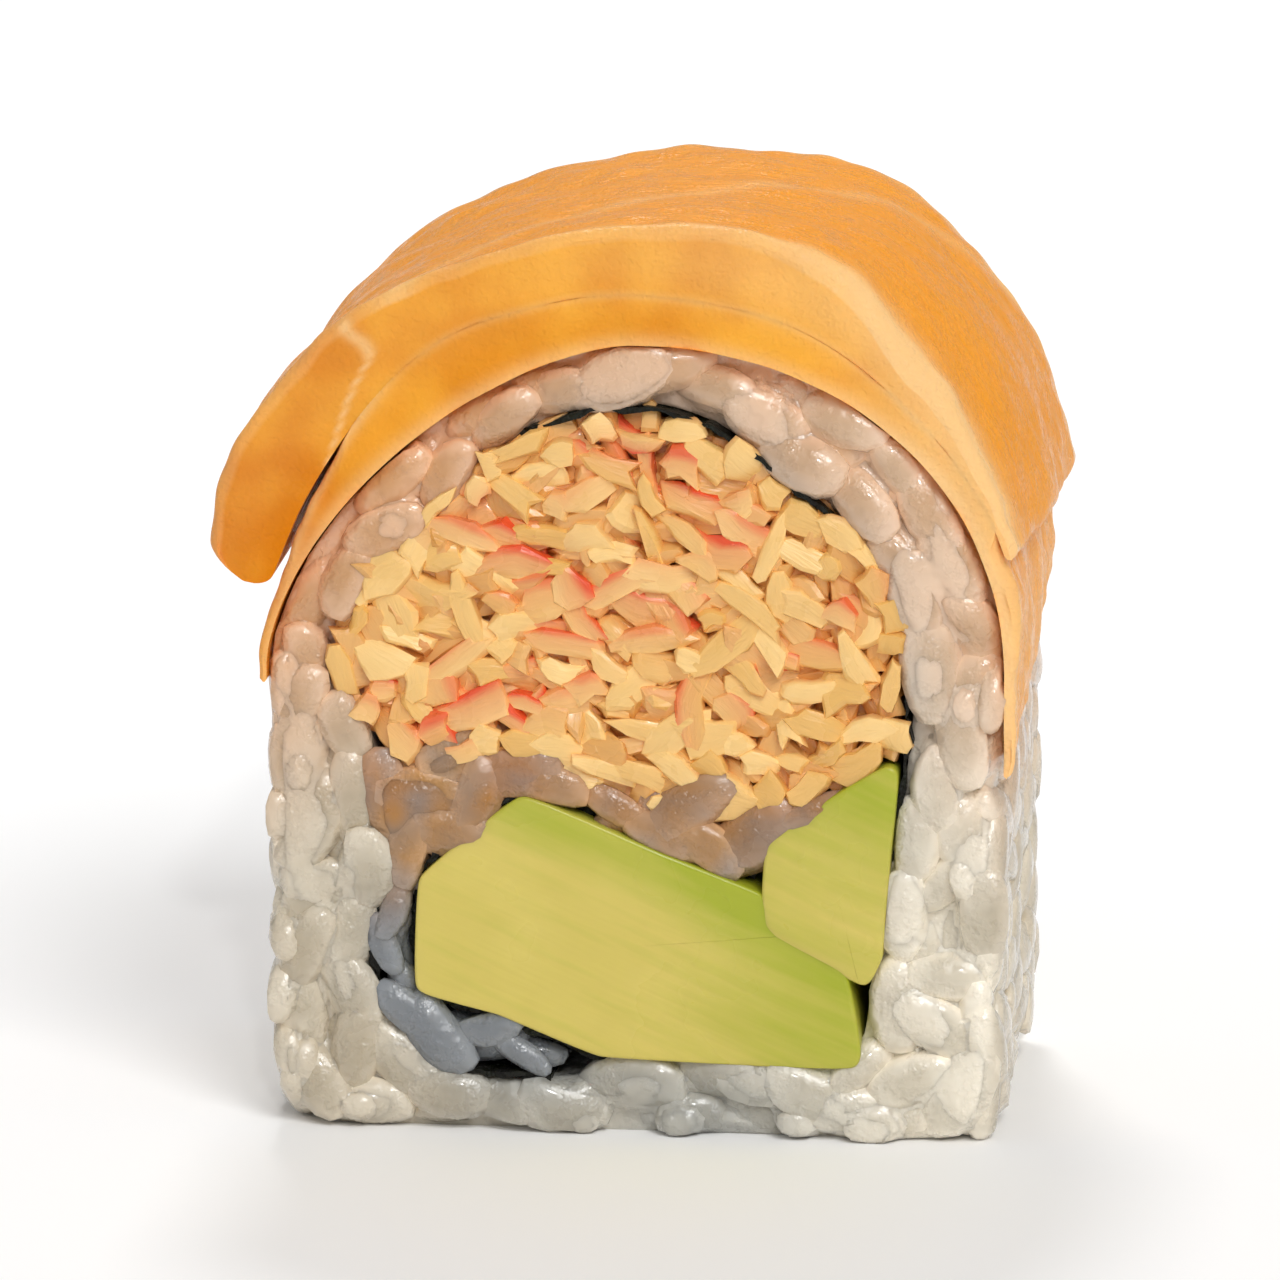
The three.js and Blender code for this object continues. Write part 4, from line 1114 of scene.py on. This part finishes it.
def crab_lot(sizes, room, rng):
    """The shreds of crab, and how much painted gap shade each takes for its layer: three layers at each cut.
    Near the outline more of them lie along it, and the rest mostly slant down to the right."""
    lots, gap_shades = [], []
    for side in (-1, 1):
        for layer, spread in enumerate(SHRED_SPREAD):
            low, high, spacing = (-18 * MM, 16 * MM), (16 * MM, 41 * MM), sizes.shred_spacing * spread
            places = scattered(rng, low, high, spacing, lambda p: against_line(p, room)[2])
            count = len(places)
            to_room, edge_angle, _ = against_line(places, room)
            at_edge = 1 - smooth_step(to_room, 0.5 * MM, 1.6 * MM)
            follows = rng.uniform(size=count) < at_edge
            angle = np.where(follows, edge_angle, rng.normal(SHRED_ANGLE, SHRED_ANGLES, count))
            along = np.stack((np.cos(angle), rng.uniform(-0.15, 0.15, count), np.sin(angle)), axis=-1)
            lean_x, lean_z = rng.uniform(-SHRED_LEAN, SHRED_LEAN, (2, count))
            size = np.array((sizes.shred_length, sizes.shred_width, sizes.shred_thickness)) / 2
            size = size * rng.uniform(SMALLEST_SHRED, LARGEST_SHRED, (count, 3))
            size[:, 0] *= 1 - 0.35 * at_edge
            depth = CUT - (SHRED_DEPTH + SHRED_LAYER * layer) * MM - rng.uniform(0, SHRED_UNEVEN, count) * MM
            bend, taper = (rng.uniform(-SHRED_BEND, SHRED_BEND, count) for _ in range(2))
            axes = axes_of(along, stacked(lean_x, float(side), lean_z))
            lots.append(Lot(in_section(places, side * depth), axes, size, bend, taper))
            gap_shades.append(np.full(count, GAP_SHADE_LAYER * layer))
    return joined(lots), np.concatenate(gap_shades)


def make_crab(sizes, colours):
    """A rough core, and the shreds over it, roughened a little. A shred is redder the nearer it lies to a red
    spot, and takes more painted gap shade the deeper its layer and the nearer to its root."""
    material = crab_material(colours.crab, colours.crab_gap_shade, colours.crab_red)
    room = crab_outline(0.5 * MM)
    points, quads, triangles = pillow(room, CUT - CORE_DEPTH, 0.5 * MM, 0.0)
    points[:, 1] += np.sign(points[:, 1]) * 0.3 * MM * waves(points, 2.2 * MM, 51)
    count = len(points)
    # The core shows only deep in the gaps, so it takes the painted gap shade
    values = {
        "tint": np.full(count, 0.3), "red": np.zeros(count), "edge": np.zeros(count), "fibre": points,
        "hollow": np.clip(1 + 0.6 * waves(points, 5 * MM, 53), 0.5, 1),
    }
    dressed(new_piece("crab_core", points, quads, triangles, material, values), "crab", "crab")

    rng = np.random.default_rng(12)
    lot, hollow = crab_lot(sizes, room, rng)
    count = len(hollow)
    shapes, (quads, triangles) = chip_shapes(count, rng)
    each = shapes.shape[1]
    chips = copies_of(shapes, lot) + rng.normal(0, 0.05 * MM, (count, each, 3))
    fibre = shapes * lot.radii[:, None] + rng.uniform(0, 0.1, (count, 1, 3))
    chips[..., 1] = np.sign(chips[..., 1]) * soft_limit(np.abs(chips[..., 1]), CUT - 0.1 * MM, 0.08 * MM)
    spots = np.array(RED_SPOTS) * MM
    narrowing = rng.uniform(0.35, 1.5, count)
    apart = np.linalg.norm(lot.centres[:, None, (0, 2)] - spots[:, :2], axis=-1) / spots[:, 2]
    red = np.clip(1.35 - apart.min(1) * narrowing, 0, 1)
    # Painted shade towards each shred's underside
    root = 1 - smooth_step(shapes[..., 2], -0.7, 0.7)
    values = {
        "tint": np.repeat(rng.uniform(0, 1, count), each), "red": np.repeat(red, each),
        "edge": shapes[..., 1].ravel(), "fibre": fibre.reshape(-1, 3),
        "hollow": np.clip(hollow[:, None] + 0.7 * root, 0, 1).ravel(),
    }
    faces = faces_of_copies(quads, triangles, each, count)
    piece = new_piece("crab_shreds", chips.reshape(-1, 3), *faces, material, values, sharp=32)
    dressed(piece, "crab", "crab")


def make_avocado(sizes, colours):
    """Each stick is the line through its corners, eased at each corner and swelled a little."""
    material = avocado_material(colours.avocado, colours.avocado_green)
    for name, corners in (("avocado_large", LARGE_AVOCADO), ("avocado_small", SMALL_AVOCADO)):
        corners = np.array(corners) * MM
        following = np.roll(corners, -1, axis=0)
        near, far = 1 - AVOCADO_EASING, AVOCADO_EASING
        eased = np.stack((corners * near + following * far, corners * far + following * near), axis=1)
        outline = smooth_line(eased.reshape(-1, 2), 220, closed=True)
        outline -= line_normals(outline, closed=True) * AVOCADO_SWELL
        points, *faces = pillow(outline, CUT - 0.1 * MM, AVOCADO_ROUNDING, AVOCADO_DOME)
        x, z = points[:, 0], points[:, 2]
        if name == "avocado_large":
            green = smooth_step(x, -2 * MM, 12 * MM) + smooth_step(z + 0.42 * x, 12.5 * MM, 16 * MM)
            green = 0.75 * green
        else:
            green = 0.25 + 0.6 * smooth_step(z + 0.3 * x, 17 * MM, 24 * MM)
        piece = new_piece(name + "_stick", points, *faces, material, {"green": np.clip(green, 0, 1)})
        dressed(piece, "avocado", name)


# Where each slice ends along the arch, at its front and back cut, in millimetres
SLICES = {
    "inner": {"left": (-29.6, -29.6), "right": (35.5, 27.0)},
    "outer": {"left": (-24.8, -24.0), "right": (23.8, 24.4)},
}
SLICE_STEPS, SLICE_DEEP, SLICE_TALL = 300, 70, 14
# The share by which the steps crowd towards a slice's ends
CROWDING = 0.35
THINNEST = 0.3 * MM
LEAST_ROUNDING = 1e-3 * MM
# The share of a slice's thickness at which it closes to an edge
EDGE_HEIGHT = 0.42


def slice_heights(which, distance, depth):
    """The lower and upper heights of a slice over the rice, at a distance along it and a share of its
    depth."""
    joint = along_profile(distance, JOINT_HEIGHT)
    if which == "inner":
        return np.full_like(distance, CLEARANCE / 2), joint + JOINT_OVERLAP
    flare = along_profile(distance, SKIN_FLARE) * smooth_step(depth, 0, 0.45)
    lifted = 0.4 * MM * (1 - smooth_step(distance, -21 * MM, -15 * MM))
    return joint + lifted, along_profile(distance, SKIN_HEIGHT) + flare


def bell(value, width):
    """1 at 0, falling to either side as the exponential of less the square of the share of the width."""
    return np.exp(-((value / width) ** 2))


def rising_between(value, low, high, fall, end):
    """1 from high to fall, with a smooth step up to it from low and down from it to end, in millimetres."""
    return smooth_step(value, low * MM, high * MM) * (1 - smooth_step(value, fall * MM, end * MM))


def slice_values(which, distance, depth, rise, height, from_cut, on_cut):
    """The values that colour a slice: how far a place is on the cut, how pale it is with fat and painted
    light, and how deep its orange, as painted shade. The paleness is a fat line on the flap, a painted
    highlight along the rim of the outer surface, a stripe over it, painted light on the cut towards the right
    and top and along the rice, the strip down the right wall, and at the joint a pale line on the left and
    painted light elsewhere."""
    outer, inner = which == "outer", which == "inner"
    on_skin = rise == 1
    toward_right = smooth_step(distance, 2 * MM, 14 * MM)
    cut = np.where(on_cut, 1.0, rise * (1 - smooth_step(from_cut, 0.2 * MM, 1.6 * MM)))
    below_skin = along_profile(distance, SKIN_HEIGHT) - height
    vein_place = -12.4 * MM - 2.2 * np.maximum(below_skin - 2.6 * MM, 0)
    vein_place = vein_place - 0.12 * MM * np.sin(below_skin / (0.4 * MM))
    vein = bell(distance - vein_place, 0.32 * MM) * smooth_step(below_skin, -0.2 * MM, 0.4 * MM)
    vein = 0.6 * vein * cut * (depth < 0.5) * outer
    # Painted highlight: a pale band along the rim of the outer surface, wider and stronger to the right
    rim_width = (0.5 + 0.8 * toward_right) * MM
    rim = bell(from_cut - 0.7 * rim_width, rim_width) * on_skin * (0.3 + 0.3 * toward_right) * outer
    stripe = 0.3 * bell(depth - 0.36 - 0.036 * distance / MM, 0.035) * on_skin * outer
    # Painted light: the cut grows paler higher up and towards the right, where the light falls
    paler = (0.1 + 0.5 * smooth_step(distance, -8 * MM, 20 * MM)) * smooth_step(height, 0.5 * MM, 5 * MM)
    paler = cut * (paler + 0.6 * smooth_step(distance, 8 * MM, 20 * MM))
    strip = 0.35 * (1 - cut) * smooth_step(distance, 20 * MM, 30 * MM)
    below_joint = along_profile(distance, JOINT_HEIGHT) - height
    # A pale line at the joint on the left, and painted light along the rest of the joint over the dark line
    # there
    seam = 0.5 * rising_between(distance, -25, -22, -15, -11) * inner * bell(below_joint, 0.4 * MM)
    seam = seam + 0.2 * rising_between(distance, -14, -9, 14, 20) * bell(below_joint, 0.25 * MM)
    # Painted light low on the inner slice's cut, where it meets the rice
    under = 0.5 * cut * bell(height, 0.7 * MM) * inner
    fat = np.clip(vein + rim + stripe + paler + strip + cut * seam + under, 0, 0.9)
    # Painted shade: a deeper orange on the left, away from the light, and less on the right, towards it
    deep = 0.5 * (1 - smooth_step(distance, -20 * MM, -8 * MM)) - 0.2 * toward_right
    return {"cut": cut, "fat": fat, "deep": deep}


def make_slice(which, sizes, material):
    """A slice of salmon: at each step along the arch, a closed loop of points over its underside, back cut,
    outer surface and front cut. The loop's corners are rounded, but not where the other slice covers them,
    and it thins to an edge at both ends."""
    steps = np.linspace(0, 1, SLICE_STEPS)[:, None]
    along = (0.5 - 0.5 * np.cos(math.pi * steps)) * CROWDING + steps * (1 - CROWDING)
    across = 0.5 - 0.5 * np.cos(np.linspace(0, math.pi, SLICE_DEEP))
    up = np.linspace(0, 1, SLICE_TALL + 2)[1:-1]
    depth = np.concatenate((across, np.ones(SLICE_TALL), across[::-1], np.zeros(SLICE_TALL)))[None]
    rise = np.concatenate((np.zeros(SLICE_DEEP), up, np.ones(SLICE_DEEP), up[::-1]))
    left, right = (front + (back - front) * depth for front, back in SLICES[which].values())
    left, right = left * MM, right * MM
    distance = left + (right - left) * along
    low, high = slice_heights(which, distance, depth)
    thick = np.maximum(high - low, THINNEST)
    from_cut = np.minimum(depth, 1 - depth) * 2 * CUT
    bare = 1 - rising_between(distance, -18, -15, 22, 24) * (which == "inner")
    rounding = sizes.rim_rounding * (1 + 1.6 * smooth_step(distance, 0, 14 * MM)) * bare
    rounding = np.maximum(np.minimum(rounding, thick * 0.6), LEAST_ROUNDING)
    drop = rounding * (1 - np.sqrt(1 - np.clip(1 - from_cut / rounding, 0, 1) ** 2))
    from_end = np.minimum(distance - left, right - distance) / np.minimum(thick * 0.5, 0.9 * MM)
    close = np.sqrt(np.clip(1 - np.clip(1 - from_end, 0, 0.995) ** 2, 0.01, 1))
    middle = low + thick * EDGE_HEIGHT
    height = middle + (low + (thick - drop) * rise - middle) * close
    y = (2 * depth - 1) * CUT
    lumps = stacked(distance, y, height)
    relief = 0.16 * MM * waves(lumps[..., :2], 7 * MM, 41) + 0.07 * MM * waves(lumps[..., :2], 2.6 * MM, 42)
    height = height + rise * relief * bare
    on_cut = (depth == 0) | (depth == 1)
    y = y + np.where(on_cut, np.sign(y) * 0.14 * MM * waves(lumps[..., (0, 2)], 5 * MM, 43), 0)
    points = in_section(over_arch(distance, height), y)
    vertices = np.vstack((points.reshape(-1, 3), points[(0, -1), :].mean(1)))

    values = slice_values(which, distance, depth, rise, height, from_cut, on_cut)
    for label, value in values.items():
        values[label] = np.append(np.broadcast_to(value, distance.shape).ravel(), (0.0, 0.0))
    values["flesh"] = np.vstack((stacked(distance, y, height).reshape(-1, 3), np.zeros((2, 3))))
    name = "salmon_" + which
    piece = new_piece(name + "_slice", vertices, *tube_faces(*points.shape[:2]), material, values, sharp=50)
    dressed(piece, "salmon", name)


def make_salmon(sizes, colours):
    shades = (colours.salmon_cut, colours.salmon_deep, colours.salmon_outside, colours.salmon_fat_and_light)
    material = salmon_material(*shades)
    for which in SLICES:
        make_slice(which, sizes, material)


# The stage


VIEW_AZIMUTH = math.radians(6.5)
VIEW_ELEVATION = math.radians(12.8)
VIEW_DISTANCE = 0.65
VIEW_TARGET = Vector((-1.1 * MM, 0, 25 * MM))
LENS = 331.2
SENSOR = 36
NEAREST_SHOWN = 0.01
FLOOR_REACH = 2
WORLD_POWER = 0.45
LIGHT_TARGET = Vector((0, 0, 25 * MM))
# Name, kind, place, angle or width, and power of each light
LIGHTS = (
    ("key", "SUN", (0.3, -0.5, 0.6), math.radians(24), 1.35),
    ("glint", "SUN", (0.1, -0.5, 0.34), math.radians(2.5), 0.4),
    ("back", "AREA", (-0.05, 0.3, 0.42), 0.12, 0.8),
)


def add_light(name, kind, place, size, power):
    """A round lamp that looks from its place at the piece. Its size is a width, or an angle for a distant
    one."""
    lamp = bpy.data.lights.new(name, kind)
    lamp.energy = power
    if kind == "SUN":
        lamp.angle = size
    else:
        lamp.shape = "DISK"
        lamp.size = size
    light = bpy.data.objects.new(name, lamp)
    light.location = place
    light.rotation_euler = (LIGHT_TARGET - Vector(place)).to_track_quat("-Z", "Y").to_euler()
    bpy.context.scene.collection.objects.link(light)


def make_stage():
    corners = np.array([(-1, -1, 0), (1, -1, 0), (1, 1, 0), (-1, 1, 0)], float) * FLOOR_REACH
    floor = new_piece("floor", corners, [(0, 1, 2, 3)], [], floor_material(), {})
    scene = bpy.context.scene
    scene.view_settings.view_transform = "Standard"
    world = bpy.data.worlds.new("studio")
    world.use_nodes = True
    background = world.node_tree.nodes["Background"].inputs
    background["Color"].default_value = (1, 1, 1, 1)
    background["Strength"].default_value = WORLD_POWER
    scene.world = world
    for light in LIGHTS:
        add_light(*light)
    camera = bpy.data.objects.new("camera", bpy.data.cameras.new("camera"))
    camera.data.lens = LENS
    camera.data.sensor_width = SENSOR
    camera.data.clip_start = NEAREST_SHOWN
    level = math.cos(VIEW_ELEVATION)
    away = Vector((math.sin(VIEW_AZIMUTH) * level, -math.cos(VIEW_AZIMUTH) * level, math.sin(VIEW_ELEVATION)))
    camera.location = VIEW_TARGET + away * VIEW_DISTANCE
    camera.rotation_euler = (-away).to_track_quat("-Z", "Y").to_euler()
    scene.collection.objects.link(camera)
    scene.camera = camera


class ROLL_OT_outer_rice(bpy.types.Operator):
    """Make the rice round the outside: a core and the grains over it"""

    bl_idname = "roll.outer_rice"
    bl_label = "Outer Rice"

    def execute(self, context):
        make_outer_rice(context.scene.roll_sizes, context.scene.roll_colours)
        return {"FINISHED"}


class ROLL_OT_seaweed(bpy.types.Operator):
    """Make the rolled sheet of seaweed"""

    bl_idname = "roll.seaweed"
    bl_label = "Seaweed"

    def execute(self, context):
        make_seaweed(context.scene.roll_sizes, context.scene.roll_colours)
        return {"FINISHED"}


class ROLL_OT_inner_rice(bpy.types.Operator):
    """Make the rice rolled inside the seaweed"""

    bl_idname = "roll.inner_rice"
    bl_label = "Inner Rice"

    def execute(self, context):
        make_inner_rice(context.scene.roll_sizes, context.scene.roll_colours)
        return {"FINISHED"}


class ROLL_OT_crab(bpy.types.Operator):
    """Make the shredded crab stick"""

    bl_idname = "roll.crab"
    bl_label = "Crab"

    def execute(self, context):
        make_crab(context.scene.roll_sizes, context.scene.roll_colours)
        return {"FINISHED"}


class ROLL_OT_avocado(bpy.types.Operator):
    """Make the two sticks of avocado"""

    bl_idname = "roll.avocado"
    bl_label = "Avocado"

    def execute(self, context):
        make_avocado(context.scene.roll_sizes, context.scene.roll_colours)
        return {"FINISHED"}


class ROLL_OT_salmon(bpy.types.Operator):
    """Make the two slices of salmon over the top"""

    bl_idname = "roll.salmon"
    bl_label = "Salmon"

    def execute(self, context):
        make_salmon(context.scene.roll_sizes, context.scene.roll_colours)
        return {"FINISHED"}


class ROLL_OT_stage(bpy.types.Operator):
    """Make the floor, lights, world and camera"""

    bl_idname = "roll.stage"
    bl_label = "Stage"

    def execute(self, context):
        make_stage()
        return {"FINISHED"}


PIECE_OPERATORS = (
    ROLL_OT_outer_rice, ROLL_OT_seaweed, ROLL_OT_inner_rice, ROLL_OT_crab, ROLL_OT_avocado, ROLL_OT_salmon,
    ROLL_OT_stage,
)


class ROLL_PT_pieces(bpy.types.Panel):
    bl_idname = "ROLL_PT_pieces"
    bl_label = "Uramaki Piece"
    bl_space_type = "VIEW_3D"
    bl_region_type = "UI"
    bl_category = "Uramaki"

    def draw(self, context):
        for group in (context.scene.roll_sizes, context.scene.roll_colours):
            for name in group.bl_rna.properties.keys()[2:]:
                self.layout.prop(group, name)
        for operator in PIECE_OPERATORS:
            self.layout.operator(operator.bl_idname)


CLASSES = (RollSizes, RollColours, *PIECE_OPERATORS, ROLL_PT_pieces)


def register():
    for each in CLASSES:
        bpy.utils.register_class(each)
    bpy.types.Scene.roll_sizes = PointerProperty(type=RollSizes)
    bpy.types.Scene.roll_colours = PointerProperty(type=RollColours)


def unregister():
    del bpy.types.Scene.roll_colours
    del bpy.types.Scene.roll_sizes
    for each in reversed(CLASSES):
        bpy.utils.unregister_class(each)


def main():
    register()
    mottle_group()
    fibre_group()
    bpy.ops.roll.outer_rice()
    bpy.ops.roll.seaweed()
    bpy.ops.roll.inner_rice()
    bpy.ops.roll.crab()
    bpy.ops.roll.avocado()
    bpy.ops.roll.salmon()
    bpy.ops.roll.stage()


if __name__ == "__main__":
    main()
